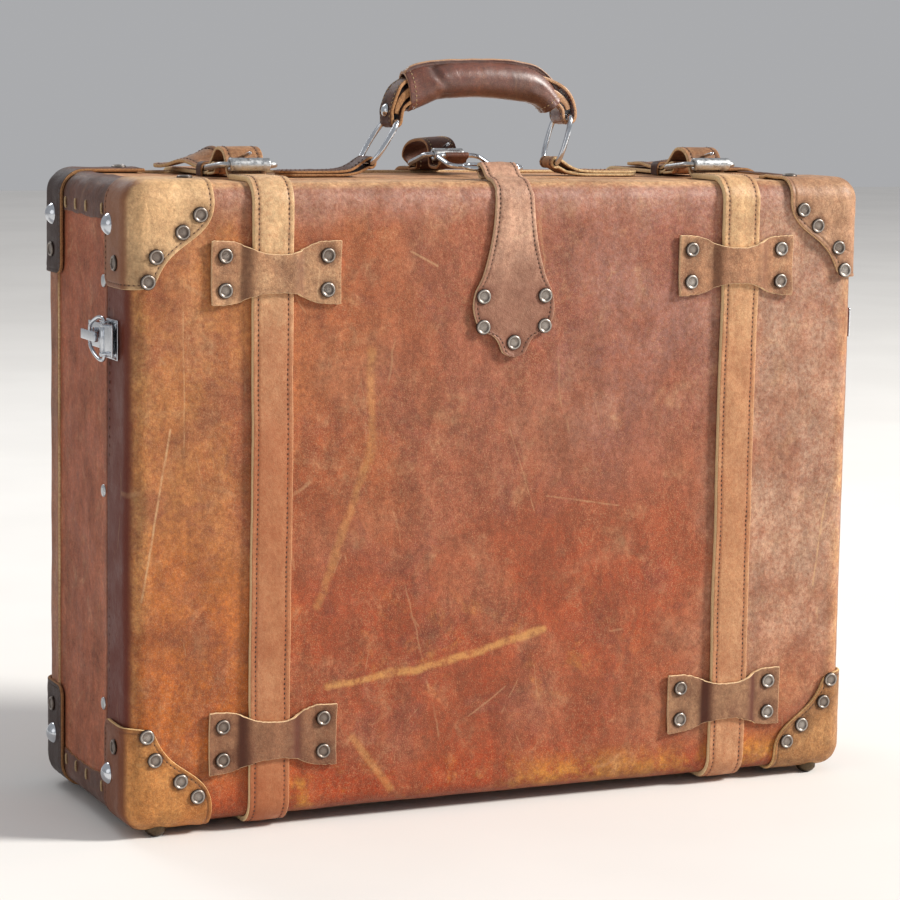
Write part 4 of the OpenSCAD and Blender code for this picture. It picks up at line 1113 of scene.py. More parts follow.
def folded_run(bar_y, bar_h, down_to, thin=2.0):
    """A strap's line (y, z) up the back, over the top and round a buckle's heel bar."""
    back = half_loop(BACK, WRAP + 0.05, bar_y + 24, SEAM + 3.1)[::-1]
    if down_to is not None:
        back = back[back[:, 1] > FOOT + 2 * EDGE_R]
        back = np.concatenate([[[back[0, 0], down_to]], back])
    r = 2.75
    rise = [[bar_y + 15, TOP + WRAP + 0.4], [bar_y + 10, TOP + WRAP + thin + 0.6],
            [bar_y + 5, TOP + bar_h + 1.4]]
    turn = np.radians(np.linspace(80, 262, 13))
    round_bar = [[bar_y + r * math.cos(a), TOP + bar_h + r * math.sin(a)] for a in turn]
    under = [[bar_y + 5, TOP + WRAP + thin + 0.8], [bar_y + 13, TOP + WRAP + thin + 0.05]]
    fold = soften(np.array([back[-1] - [0, 0.01]] + rise + round_bar + under), 1)
    return even(np.concatenate([back[:-1], fold]), 2.6)


def rear_strap(side):
    """Rear run of a long strap, folded round the buckle's heel bar at its upper end."""
    x = side * STRAP_X
    pts = folded_run(HEEL_Y, HEEL_H, None)
    s = lengths(pts)
    left = s[-1] - s
    centre, across, out = profile_frames(pts, x, 1)
    thick = 1.9 + (STRAP_T - WRAP - 1.9) * smooth(32, 46, left)
    piece = Piece()
    half = wobble(STRAP_W, s, 31 + side)
    ribbon(piece, centre, across, out, half, wobble(STRAP_W, s, 43 + side), thick,
           stitch=(4.0,), seed=51 + side, thread=1, tint=0.5 + 0.3 * waves_1d(s, 90, 47))
    name = HAND[side]
    return piece, ("strap_rear_" + name, [STRAP, THREAD_DARK], "case", "strap_leather",
                   "strap_rear_" + name)


def strap_patch(side):
    """The few millimetres of strap across the lid's hinge."""
    x = side * STRAP_X
    ys = np.linspace(SEAM - 2.7, SEAM + 2.7, 9)
    pts = np.stack([ys, np.full(9, FOOT - 0.3)], -1)
    centre, across, out = profile_frames(pts, x, 1)
    out = np.tile([0.0, 0.0, -1.0], (9, 1))
    piece = Piece()
    ribbon(piece, centre, across * -1, out, 14.6, 14.6, 2.6, seed=61 + side)
    name = HAND[side]
    start = (x * MM, (SEAM - 3) * MM, 0.005)
    end = (x * MM, (SEAM + 3) * MM, 0.005)
    piece.build("strap_bend_" + name, [STRAP], ("lid", "case", start, end), "strap_leather")


# ------------------------------------------------------------ keepers

KEEPER_T = 2.5
KEEPER_SHIFT = 3.0
KEEPER_X = STRAP_X - KEEPER_SHIFT
KEEPER_HIGH = 397.0
KEEPER_LOW = 66.0


def keeper(side, z, rear, rivets, seed):
    """A bow-tie of leather riveted down over a strap."""
    sign = 1 if rear else -1
    plane = BACK + WRAP if rear else FRONT
    rise = 3.0 if rear else 4.15
    a = KEEPER_SHIFT - STRAP_W / 2 - 0.6
    b = KEEPER_SHIFT + STRAP_W / 2 + 0.6
    xs = np.unique(np.concatenate([np.linspace(-48, 48, 53), [-47.7, -47, 47, 47.7]]))
    up = smooth(a - 7.5, a + 0.8, xs) * (1 - smooth(b - 0.8, b + 7.5, xs)) * rise
    up += 0.5 * np.exp(-((xs - (a + b) / 2) / 9) ** 2)
    up += 0.25 * np.exp(-((xs - a + 8) / 3) ** 2) + 0.25 * np.exp(-((xs - b - 8) / 3) ** 2)
    half = 22.3 - 8.8 * np.exp(-(np.abs(xs) / 24) ** 3.0)
    rng = np.random.default_rng(seed)
    jag = rng.normal(size=(2, len(xs))) * 0.16
    high = half + 0.4 * waves_1d(xs, 30, seed) + jag[0]
    low = half + 0.4 * waves_1d(xs, 30, seed + 5) + jag[1]
    skew = rng.uniform(-0.012, 0.012)
    t = unit(np.stack([xs * 0 + 1, np.gradient(up, xs)], -1))
    centre = np.stack([side * KEEPER_X + side * xs, plane + sign * (up + 0.05),
                       z + skew * xs], -1)
    across = np.tile([0.0, 0.0, 1.0], (len(xs), 1))
    out = np.stack([-side * t[:, 1], sign * t[:, 0], xs * 0], -1)
    corner = rng.uniform(0.2, 1.1, size=4)
    lobes = np.exp(-((xs - 48) / 9) ** 2), np.exp(-((xs + 48) / 9) ** 2)
    # Painted shade in the creases where the keeper ramps up over the strap's edges; the low keepers
    # are also darker all over with dirt.
    shade_and_dirt = 0.75 * (np.exp(-((xs - a + 4) / 5) ** 2) + np.exp(-((xs - b - 4) / 5) ** 2))
    shade_and_dirt += 0.0 if z > 200 else 0.6
    piece = Piece()
    order = slice(None, None, -1) if side * sign > 0 else slice(None)

    def lift(tt, d):
        """The four corners curl up, each by its own amount."""
        upper = smooth(8, 22, tt)
        lower = smooth(8, 22, -tt)
        return (lobes[0][order][:, None] * (upper * corner[0] + lower * corner[1])
                + lobes[1][order][:, None] * (upper * corner[2] + lower * corner[3])) * 1.7

    ribbon(piece, centre[order], across, out[order], low[order], high[order], KEEPER_T,
           seed=seed, r=0.5, lumps=0.28, lift=lift, step=3.0,
           tint=(shade_and_dirt + 0.25 * np.exp(-(xs / 16) ** 2) * rng.uniform(0.3, 1.2))[order])
    mine = []
    for u in (-38, 38):
        for v in (-12, 12):
            at = [side * (KEEPER_X + u), plane + sign * KEEPER_T, z + v + skew * u]
            rivets.add(at, (0, sign, 0), old=1.0 if z < 200 and side < 0 else None)
            mine.append(rivets.places[-1])
    press(piece, mine)
    end = "rear" if rear else "front"
    name = f"keeper_{end}_{'high' if z > 200 else 'low'}_{HAND[side]}"
    piece.build(name, [KEEPER], "case" if rear else "lid", "keeper_leather",
                "keepers_rear" if rear else "keepers_front")


# ------------------------------------------------------------ corner guards

GUARD_T = 2.5
GUARD_X, GUARD_Z, GUARD_REAR = 61.0, 73.0, 46.0
GUARD_CORNER = 9.0      # round corner on the end wall
GUARD_CURVE = bezier([(GUARD_X, 9), (GUARD_X + 2, 44), (26, 36), (18, GUARD_Z)], 80)
GUARD_STEPS = (0.2, 0.51, 0.8, 0.97)
GUARD_DENSE = np.array([0.0, 0.2, 0.55, 1.1, 1.9, 2.5, 3.1, 3.7, 4.6])


def guard_outline(deep):
    """The guard's edge on the front and end, laid flat: x is in from the end wall on the
    front and back from the front, below zero, on the end; y is in from the top."""
    main = GUARD_CURVE[GUARD_CURVE[:, 1] < GUARD_Z - 8]
    tip = bezier([main[-1], main[-1] + unit(main[-1] - main[-2]) * 6, (17, GUARD_Z + 0.4),
                  (0, GUARD_Z)], 14)
    turn = np.radians(np.linspace(90, 180, 9))
    r = GUARD_CORNER
    corner = np.stack([-(deep - r) + r * np.cos(turn), GUARD_Z - r + r * np.sin(turn)], -1)
    start = [[GUARD_X, -deep], [GUARD_X, 0]]
    return np.concatenate([start, main, tip[1:], corner, [[-deep, 0]]])


def distance_to(p, line):
    """Least distance from each point of p to the polyline, in its plane."""
    a, b = line[:-1], line[1:]
    ab = b - a
    ap = p[:, None] - a[None]
    t = np.clip((ap * ab).sum(-1) / np.maximum((ab * ab).sum(-1), 1e-9), 0, 1)
    return np.linalg.norm(ap - t[..., None] * ab, axis=-1).min(1)


def corner_skin(p, h, r=EDGE_R):
    """Points by their distances in from the three faces at a corner, put h outside them."""
    q = np.maximum(p, r)
    return q + unit(p - q) * (r + np.asarray(h, float))[..., None]


def close_ends(size, dense, step):
    """Distances from 0 to size, close together at the far end and over the rounded edge."""
    turn = EDGE_R * (1 - np.tan(np.radians(np.linspace(45, 0, 7))))
    stop = size - dense[-1] - 1.0
    body = np.linspace(EDGE_R, stop, max(2, int((stop - EDGE_R) / step) + 1))
    return np.concatenate([turn[:-1], body, size - dense[::-1]])


def across_to(reach, slant, dense, count):
    """Places from 0 to reach, close together at the far end."""
    turn = EDGE_R * (1 - np.tan(np.radians(np.linspace(45, 0, 7)[:-1])))
    near = dense * slant * min(1, reach / (dense[-1] * slant + 1.5) * 0.6)
    start = reach - near[-1] - 0.6 * min(1, reach / 10)
    if start > EDGE_R + 6:
        body = np.concatenate([turn, np.linspace(EDGE_R, start, count)])
    else:
        body = np.linspace(0, start, len(turn) + count)
    return np.concatenate([body, reach - near[::-1]])


def guard(side, up, rear, rivets, mats, seed, lifted=0.0):
    """A corner guard: leather over three faces, with a curved edge on the front or back."""
    deep = GUARD_REAR if rear else (SEAM - GAP - 0.2) - FRONT
    base = WRAP if rear else 0.0
    outline = guard_outline(deep)
    front_edge = outline[(outline[:, 0] >= 0) & (outline[:, 1] >= 0)]
    vs = close_ends(GUARD_Z, GUARD_DENSE, 2.6)
    ws = close_ends(deep, GUARD_DENSE[:5], 3.0)
    reach = np.interp(vs, front_edge[:, 1], front_edge[:, 0])
    reach[-1] = 0.0
    slant = np.sqrt(1 + np.gradient(reach, vs) ** 2).clip(1, 3)
    us = np.array([across_to(u, k, GUARD_DENSE, 16) for u, k in zip(reach, slant)])
    r = GUARD_CORNER
    back = np.array([deep if v < GUARD_Z - r else
                     deep - r + math.sqrt(max(0, r * r - (v - GUARD_Z + r) ** 2)) for v in vs])
    we = back[:, None] * (ws / deep)[None, :]
    nu, nv, nw = us.shape[1], len(vs), len(ws)
    front = np.stack([us, np.broadcast_to(vs[:, None], us.shape), us * 0], -1).reshape(-1, 3)
    topside = np.stack([np.broadcast_to(us[0][None, :], (nw, nu)), np.zeros((nw, nu)),
                        np.broadcast_to(ws[:, None], (nw, nu))], -1).reshape(-1, 3)
    endside = np.stack([np.zeros((nv, nw)), np.broadcast_to(vs[:, None], (nv, nw)), we],
                       -1).reshape(-1, 3)
    d = np.concatenate([
        distance_to(front[:, :2], outline),
        np.minimum(GUARD_X - topside[:, 0], deep - topside[:, 2]),
        distance_to(np.stack([-endside[:, 2], endside[:, 1]], -1), outline)])
    p = np.concatenate([front, topside, endside])
    faces = grid_faces(nv, nu)
    faces += [[q + nv * nu for q in f] for f in grid_faces(nw, nu, flip=True)]
    faces += [[q + nv * nu + nw * nu for q in f] for f in grid_faces(nv, nw, flip=True)]
    p, d, faces = weld(p, d, faces)
    h = edge_profile(d, GUARD_T, 0.7) - 0.35 * np.exp(-((d - 3.1) / 0.6) ** 2)
    h += smooth(1, 5, d) * (0.22 * waves(p, 26, seed) + 0.1 * waves(p, 9, seed + 1))
    loose = np.exp(-(d / 7) ** 2) * (p[:, 2] < deep - 8) * smooth(-0.4, 0.8, waves(p, 45, seed + 2))
    h = h + lifted * loose
    world = corner_place(side, up, rear)
    piece = Piece()
    soil = 0.7 * np.exp(-((d - 3.1) / 0.9) ** 2)
    # Painted shade: the part of the guard on the end wall is darkened, as if turned away from the
    # light.
    end_wall_shade = 1.2 * smooth(EDGE_R, 3, p[:, 0]) * smooth(2, 9, p[:, 2])
    slab(piece, world(corner_skin(p, base + h)),
         world(corner_skin(p, base + 0.03 + lifted * loose)), faces,
         edge=np.clip(1.2 - d / 0.45, 0, 1), dark=soil, tint=end_wall_shade)
    guard_seam(piece, outline, deep, base, world, seed)
    press(piece, guard_rivets(side, up, rear, base, world, rivets))
    end = "rear" if rear else "front"
    high = "top" if up > 0 else "bottom"
    hand = HAND[side]
    node = f"guards_rear_{hand}" if rear else f"guard_front_{high}_{hand}"
    piece.build(f"guard_{end}_{high}_{hand}_leather", mats, "case" if rear else "lid",
                "rear_guard_leather" if rear else "guard_leather", node)


def weld(p, d, faces):
    """Joins the points that lie on each other."""
    key, index = {}, []
    for row in np.round(p, 3):
        index.append(key.setdefault(tuple(row), len(key)))
    keep = np.zeros(len(key), int)
    for i, k in enumerate(index):
        keep[k] = i
    out = []
    for f in faces:
        g = [index[i] for i in f]
        g = [a for a, b in zip(g, g[1:] + g[:1]) if a != b]
        if len(set(g)) == len(g) and len(g) > 2:
            out.append(g)
    return p[keep], d[keep], out


def corner_place(side, up, rear):
    """Turns distances in from a corner's faces into places in the frame."""
    def world(q):
        w = np.empty_like(q)
        w[:, 0] = side * (END - q[:, 0])
        w[:, 1] = BACK - q[:, 2] if rear else FRONT + q[:, 2]
        w[:, 2] = TOP - q[:, 1] if up > 0 else FOOT + q[:, 1]
        return w
    return world


def guard_seam(piece, outline, deep, base, world, seed):
    """Stitches 3 mm in from the guard's curved edge, on all three faces."""
    line = resample(outline, step=1.5)
    t = unit(np.gradient(line, axis=0))
    inset = line + 3.1 * np.stack([-t[:, 1], t[:, 0]], -1)
    x, y = inset[:, 0], inset[:, 1]
    p = np.stack([np.maximum(x, 0), np.maximum(y, 0), np.maximum(np.maximum(-x, 0),
                                                                np.maximum(-y, 0))], -1)
    keep = (p[:, 2] < deep - 3)
    p = p[keep]
    put = world(corner_skin(p, np.full(len(p), base + GUARD_T - 0.25)))
    out = unit(put - world(corner_skin(p, np.full(len(p), base - 1.0))))
    stitches(piece, put, out, mat=1, seed=seed, pitch=3.9, r=0.42, sink=0.05)


def guard_rivets(side, up, rear, base, world, rivets):
    """The guard's six rivets: four by its curved edge, one on top and one on the end."""
    first = len(rivets.places)
    steps = np.arange(81)
    for t in GUARD_STEPS:
        a, b, c = (np.array([np.interp(t * 80 + k, steps, GUARD_CURVE[:, j]) for j in (0, 1)])
                   for k in (-2, 2, 0))
        way = unit(b - a)
        spot = c + 8.5 * np.array([-way[1], way[0]])
        at = world(np.array([[max(spot[0], EDGE_R - 2), spot[1], -base - GUARD_T]]))[0]
        rivets.add(at, (0, 1 if rear else -1, 0))
    at = world(np.array([[48.0, -base - GUARD_T, 24.0]]))[0]
    rivets.add(at, (0, 0, 1 if up > 0 else -1))
    at = world(np.array([[-base - GUARD_T, 56.0, 24.0]]))[0]
    rivets.add(at, (side, 0, 0))
    return rivets.places[first:]


# ------------------------------------------------------------ hasp tab

TAB_T = 2.5
HASP_BAR_Y, HASP_BAR_H = -66.0, 8.0
TAB_RIVETS = ((-24.5, -82), (24.5, -82), (-24.5, -104), (24.5, -104), (0, -115.5))


def tab_half(z):
    """Half the tab's width at a height z below the case's top."""
    side = np.concatenate([
        bezier([(14.5, 30), (14.5, -20), (15.5, -40), (25, -68)], 20),
        bezier([(28, -74), (34, -84), (33.5, -96), (27.5, -104.5)], 16),
        bezier([(24.5, -108), (17, -108.5), (13, -113), (10.5, -120)], 10),
        bezier([(9, -123), (5, -125.5), (2, -126), (0.6, -126)], 8)])
    return np.interp(-z, -side[:, 1], side[:, 0])


def hasp_tab():
    """The flared tab: folded round its ring's bar, over the edge and down the front."""
    turn = np.radians(np.linspace(-70, 110, 12))
    r = 2.3
    fold = [[HASP_BAR_Y - 4, TOP + 2.6], [HASP_BAR_Y - 1, TOP + HASP_BAR_H - 4.2]]
    fold += [[HASP_BAR_Y + r * math.cos(a), TOP + HASP_BAR_H + r * math.sin(a)] for a in turn]
    fold += [[HASP_BAR_Y - 5, TOP + HASP_BAR_H], [HASP_BAR_Y - 10, TOP + 2.6]]
    down = half_loop(FRONT, 0.05, HASP_BAR_Y - 15, SEAM)
    down = down[down[:, 1] > TOP - 60]
    down = np.concatenate([down, [[FRONT - 0.05, TOP - 126]]])
    pts = even(np.concatenate([soften(np.array(fold), 1), down]), 1.6)
    s = lengths(pts)
    centre, across, out = profile_frames(pts, 0, 1)
    z = np.where(pts[:, 0] < FRONT + 2, pts[:, 1] - TOP, 0)
    half = tab_half(z) * np.where(z < 0, 1, 0.97)
    jag = 0.25 * waves_1d(s, 40, 71)
    creases = 0.25 * waves_1d(s, 7, 75, 14) * np.exp(-((z + 58) / 24) ** 2)
    piece = Piece()

    def lift(t, d):
        edge = 0.9 * np.exp(-(d / 5) ** 2) * smooth(-85, -100, z)[:, None]
        return edge + creases[:, None] * smooth(0, 6, d)

    ribbon(piece, centre, across, out, half + jag * smooth(6, 12, half),
           half - jag * smooth(6, 12, half), TAB_T, stitch=(3.2,), seed=72, thread=1, step=3,
           lift=lift, crown=0.35, lumps=0.2, pitch=3.4, tint=0.85 * smooth(-30, -85, z))
    first = len(LID_RIVETS.places)
    for x, dz in TAB_RIVETS:
        LID_RIVETS.add((x, FRONT - TAB_T, TOP + dz), (0, -1, 0), old=0.25)
    press(piece, LID_RIVETS.places[first:])
    piece.build("hasp_tab_leather", [TAB, THREAD_DARK], "lid", "keeper_leather", "hasp_tab")


# ------------------------------------------------------------ loose leather on the top

def holes(piece, centre, out, r=2.1, mat=1):
    """A punched hole, shown as a dark dished spot."""
    lathe(piece, centre, out, ((r, -0.5), (r, 0.04), (r * 0.8, 0.05), (r * 0.5, 0.02), (0, 0.0)),
          mat=mat, segments=16, tint=0.0)


def strap_tail(side):
    """The loose end: under the roller, up and over, then along the top of the case."""
    first = bezier([(SEAM + 0.3, 0.8), (-38, 0.8), (-45, 19.6), (-27, 20)], 24)
    second = bezier([(-26, 20.1), (-17, 20.8), (-11, TAIL_FLAT - 1.3), (4, TAIL_FLAT - 1.3)], 20)
    flat = [[20, TAIL_FLAT - 1.3], [50, TAIL_FLAT - 1.0], [77, TAIL_FLAT - 1.1]]
    pts = np.concatenate([first, second[1:], flat])
    pts[:, 1] += TOP
    pts = even(pts, 2.2)
    s = lengths(pts)
    centre, across, out = profile_frames(pts, side * STRAP_X, -1)
    y = pts[:, 0]
    tip = smooth(56, 79, y)
    half = 14.6 - 10.5 * tip ** 1.6
    veer = smooth(12, 80, y) * (-22.0 if side < 0 else 3.0)
    twist = (0.38 if side < 0 else 0.06) * np.exp(-((y - 44) / 20) ** 2)
    rise = (8.0 if side < 0 else 2.0) * np.exp(-((y - 38) / 15) ** 2)
    centre[:, 0] += veer
    centre[:, 2] += rise
    turn_x = across * np.cos(twist)[:, None] + out * np.sin(twist)[:, None]
    turn_o = out * np.cos(twist)[:, None] - across * np.sin(twist)[:, None]
    curl = np.array([0.03 + 0.05 * smooth(20, 50, v) for v in y])

    def lift(t, d):
        return curl[:, None] * (t / 5) ** 2 * 2 * smooth(8, 30, y)[:, None]

    # Darker where the end lies along the top than on its loop over the roller, a little less near the
    # tip.
    flat_run_darker = 0.5 * smooth(-22, 4, y) - 0.2 * smooth(10, 40, y)
    piece = Piece()
    ribbon(piece, centre, turn_x, turn_o, half + 0.25 * waves_1d(s, 40, 81 + side),
           half + 0.25 * waves_1d(s, 40, 85 + side), 2.5, stitch=(4.0,), seed=83 + side,
           thread=1, lift=lift, step=3, tint=flat_run_darker)
    for at in (24, 44, 64):
        i = int(np.argmin(np.abs(y - at)))
        high = lift(np.zeros((len(y), 1)), None)[i, 0]
        holes(piece, centre[i] + turn_o[i] * (2.52 + high), turn_o[i])
    name = HAND[side]
    piece.build("strap_tail_leather_" + name, [TAIL, THREAD_DARK], "case", "strap_leather",
                "strap_tail_" + name)


def strap_loop(side):
    """The narrow dark loop that holds a strap's loose end down."""
    w, high = STRAP_W / 2 + 1.2, 8.6
    path = np.array([[-w, 0.2], [-w - 0.2, 5], [-w + 0.6, high], [-w + 4, high + 0.3],
                     [w - 4, high + 0.5], [w - 0.6, high], [w + 0.3, 5], [w, 0.2]])
    pts = even(soften(path, 3), 1.2)
    centre, across, out = upright_frames(pts)
    centre[:, 0] += side * STRAP_X
    centre[:, 1] = 6.0 + 0.12 * (pts[:, 1] / high) * 6
    piece = Piece()
    ribbon(piece, centre, across, out, 5.2, 5.2, 1.7, seed=91 + side, step=2, lumps=0.15)
    piece.build("strap_loop_" + HAND[side], [LOOP], "case",
                "dark_leather", "strap_loops")


CHAPE_END = 146.0
RING_X, RING_BAR_H, RING_LONG = 75.8, 10.0, 36.6
RING_LEAN = {-1: 33.0, 1: 16.0}


def chape(side):
    """Leather folded round a handle ring's lower bar and fixed down on the top."""
    c = np.array([RING_X, RING_BAR_H])
    r = 2.7
    turn = np.radians(np.linspace(-50, -300, 22))
    round_bar = [c + r * np.array([math.cos(a), math.sin(a)]) for a in turn]
    lower = [[CHAPE_END - 1, 2.0], [112, 2.0], [96, 2.1], [86, 3.6], [80, 6.6]]
    upper = [[80.5, 10.4], [86, 6.6], [93, 3.4], [104, 2.35], [126, 2.2], [CHAPE_END, 2.15]]
    pts = even(soften(np.array(lower + [list(q) for q in round_bar] + upper), 1), 1.6)
    s = lengths(pts)
    n = len(pts)
    centre, across, out = upright_frames(pts)
    centre[:, 0] *= side
    out[:, 0] *= side
    x = pts[:, 0]
    half = 10.4 + 2.8 * smooth(82, 96, x) - 7.5 * smooth(CHAPE_END - 13, CHAPE_END + 1.5, x) ** 2
    rng = np.random.default_rng(95 + side)
    ragged = 0.35 * waves_1d(s, 26, 96 + side) + rng.normal(size=n) * 0.1
    piece = Piece()
    upper_ply = s > s[-1] * 0.52
    dip = (0.8 if side > 0 else 1.3) * smooth(0.55, 0.9, s / s[-1])

    def lift(t2, d):
        wave = 0.5 * waves_1d(s, 30, 97, 14)[:, None]
        return (wave * smooth(0, 6, d) * 0.4 + 0.15 * dip[:, None]) * upper_ply[:, None]

    ribbon(piece, centre, across, out, half + ragged, half - ragged, 2.0, seed=98 + side,
           step=2.6, lumps=0.3, stitch=(3.4,), thread=1, lift=lift)
    name = HAND[side]
    mats = [DARK if side < 0 else ROUGH, THREAD_DARK]
    piece.build("ring_chape_" + name, mats, "case", "keeper_leather", "chape_" + name)


CLASP_HEEL_Y, CLASP_FRONT_Y, CLASP_FRONT_H = 54.0, 22.0, 15.0
CLASP_BAR_Y, CLASP_BAR_H = 5.0, 15.0


def clasp_strap():
    """The short strap from the back that holds the clasp's buckle."""
    pts = folded_run(CLASP_HEEL_Y, HEEL_H, TOP - 69)
    s = lengths(pts)
    centre, across, out = profile_frames(pts, 0, 1)
    thick = 1.9 + 1.0 * smooth(32, 46, s[-1] - s)
    half = 12.8 - 4 * np.exp(-(s / 4) ** 2)
    piece = Piece()
    ribbon(piece, centre, across, out, half, half, thick, stitch=(3.4,), seed=111, thread=1)
    first = len(CASE_RIVETS.places)
    for dz in (-42, -58):
        CASE_RIVETS.add((0, BACK + WRAP + 2.9, TOP + dz), (0, 1, 0))
    press(piece, CASE_RIVETS.places[first:])
    piece.build("clasp_strap_leather", [DARK, THREAD_PALE], "case", "dark_leather", "clasp_strap")


def clasp_billet():
    """Dark leather from the clasp's ring, through its buckle, that curls over behind it."""
    r = 2.4
    c = np.array([CLASP_BAR_Y, CLASP_BAR_H])
    turn = np.radians(np.linspace(60, 275, 15))
    ring = [c + r * np.array([math.cos(a), math.sin(a)]) for a in turn]
    fold = [[CLASP_BAR_Y + 13, 9.2], [CLASP_BAR_Y + 6, 14.2]]
    fold += [list(q) for q in ring] + [[CLASP_BAR_Y + 6, 8.2], [15, 4.4]]
    body = bezier([(17, 4.2), (24, 4.0), (30, 4.2), (31, 7)], 10)
    up = bezier([(31.5, 9), (33, 16), (31, 23.4), (47, 24.6)], 16)
    over = bezier([(49, 24.7), (72, 25), (86, 18), (79.5, 5.2)], 18)
    pts = np.concatenate([soften(np.array(fold), 1), body, up, over])
    pts[:, 1] += TOP
    pts = even(pts, 1.6)
    s = lengths(pts)
    centre, across, out = profile_frames(pts, 0, -1)
    wide = np.where(s < 34, 9.4, 11.8)
    half = np.interp(s, s[::6], wide[::6]) - 5 * smooth(s[-1] - 9, s[-1], s) ** 2
    piece = Piece()
    roll = 0.10 * smooth(60, 100, s)
    side = across * np.cos(roll)[:, None] + out * np.sin(roll)[:, None]
    outer = out * np.cos(roll)[:, None] - across * np.sin(roll)[:, None]
    ribbon(piece, centre, side, outer, half, half, 2.3, stitch=(3.0,), seed=121, thread=1,
           step=2.6, lumps=0.25)
    piece.build("clasp_billet_leather", [DARK, THREAD_PALE], "case", "dark_leather",
                "clasp_billet")


# ------------------------------------------------------------ wire fittings

def turned(ax, ay, az):
    """Turns about X, then Y, then Z, in degrees, as a matrix."""
    m = (Matrix.Rotation(math.radians(az), 3, "Z") @ Matrix.Rotation(math.radians(ay), 3, "Y")
         @ Matrix.Rotation(math.radians(ax), 3, "X"))
    return np.array(m)


def link_path(length, width, corner, tall=None):
    """A closed link in the XY plane whose first bar lies on the X axis.  Its corners are
    parts of an ellipse, corner wide and tall along the link."""
    hw = width / 2
    tall = tall or corner
    pts = []
    for cx, cy, a0 in ((hw - corner, -tall, 0), (-hw + corner, -tall, 90),
                       (-hw + corner, tall - length, 180), (hw - corner, tall - length, 270)):
        for a in np.radians(np.linspace(a0, a0 + 90, 11)):
            pts.append([cx + corner * math.cos(a), cy + tall * math.sin(a), 0.0])
    pts = np.array(pts)
    closed = np.concatenate([pts, pts[:1]])
    return resample(closed, count=97)[:-1]


def link(name, node, body, length, width, corner, r, where, turn, mat, tall=None):
    """A wire link, with the small bulge of its weld in the middle of one bar."""
    path = link_path(length, width, corner, tall)
    thick = r + 0.28 * np.exp(-(((path[:, 0] - 2) / 1.6) ** 2)) * (path[:, 1] > -1)
    world = path @ turn.T + np.array(where)
    piece = Piece()
    tube(piece, world, thick, closed=True, sides=18)
    piece.build(name, [mat], body, "bright_steel", node)


def wire_fittings():
    """The handle's rings, the hasp's and clasp's rings and the three buckle frames."""
    stand = turned(-90, 0, 90)
    for side, name in HAND.items():
        link("ring_wire_" + name, "ring_" + name, "ring_" + name, RING_LONG, 32, 6, 2.0,
             (side * RING_X, 0, TOP + RING_BAR_H), turned(0, RING_LEAN[side], 0) @ stand, STEEL, 16)
        link("buckle_wire_" + name, "buckle_frame_" + name, "buckle_" + name,
             math.hypot(HEEL_Y - FRONT_BAR_Y, FRONT_BAR_H - HEEL_H), 42, 5, 2.0,
             (side * STRAP_X, HEEL_Y, TOP + HEEL_H),
             turned(-math.degrees(math.atan2(FRONT_BAR_H - HEEL_H, HEEL_Y - FRONT_BAR_Y)), 0, 0),
             SATIN)
    link("clasp_wire", "clasp_frame", "clasp_buckle",
         math.hypot(CLASP_HEEL_Y - CLASP_FRONT_Y, CLASP_FRONT_H - HEEL_H), 36, 5, 2.0,
         (0, CLASP_HEEL_Y, TOP + HEEL_H),
         turned(-math.degrees(math.atan2(CLASP_FRONT_H - HEEL_H, CLASP_HEEL_Y - CLASP_FRONT_Y)),
                0, 0), STEEL)
    link("clasp_ring_wire", "clasp_ring", "clasp_ring", 29, 34, 6.5, 1.8,
         (0, CLASP_BAR_Y, TOP + CLASP_BAR_H), turned(14, 0, 0), STEEL)
    flip = np.diag([1.0, -1.0, 1.0])
    link("hasp_ring_wire", "hasp_ring", "hasp_ring", 15, 43, 6.5, 1.8,
         (0, HASP_BAR_Y, TOP + HASP_BAR_H), turned(8, 0, 0) @ flip, STEEL)


def roller(name, node, body, x, y, h, length):
    """A buckle's roller: a plain sleeve, a little worn in the middle."""
    half = length / 2
    profile = [(-half, 3.0), (-half, 4.2), (-half + 0.3, 4.65), (-half + 0.9, 4.8),
               (-half + 2.0, 4.8)]
    profile += [(-half + 2.0 + (length - 4.0) * k / 8, 4.74) for k in range(1, 8)]
    profile += [(-a, r) for a, r in profile[:5]][::-1]
    profile += [(half - 0.6, 2.3), (-half + 0.6, 2.3)]
    around = np.linspace(0, 2 * math.pi, 33)[:-1]
    ring = np.array([[[x + a, y + r * math.cos(t), TOP + h + r * math.sin(t)] for t in around]
                     for a, r in profile])
    piece = Piece()
    piece.add(ring, grid_faces(len(profile), 32, wrap_n=True, wrap_m=True))
    piece.build(name, [SATIN], body, "bright_steel", node)


def prong(name, node, body, x, y0, h0, y1, h1):
    """A buckle's tongue: an eye round the heel bar and a tapered wire over the roller."""
    tip_h = h1 + 4.8 + 2.8 + 1.3
    start = np.array([y0 - 2.6, h0 + 2.6])
    end = np.array([y1 - 4.0, tip_h])
    line = bezier([start, start + (end - start) * 0.35 + [0, 1.2],
                   start + (end - start) * 0.75 + [0, 0.6], end + [0, -0.3]], 20)
    path = np.stack([np.full(len(line), float(x)), line[:, 0], TOP + line[:, 1]], -1)
    r = 1.5 - 0.35 * np.linspace(0, 1, len(line)) ** 2
    r[-1], r[-2] = 0.5, 0.95
    piece = Piece()
    tube(piece, path, r, sides=12)
    turn = np.radians(np.linspace(60, 380, 26))
    eye = np.array([[x, y0 + 3.25 * math.cos(a), TOP + h0 + 3.25 * math.sin(a)] for a in turn])
    for shift in (-1.2, 0.0, 1.2):
        tube(piece, eye + [shift, 0, 0], 0.85, sides=10, up=(1, 0.01, 0.02))
    piece.build(name, [STEEL], body, "bright_steel", node)


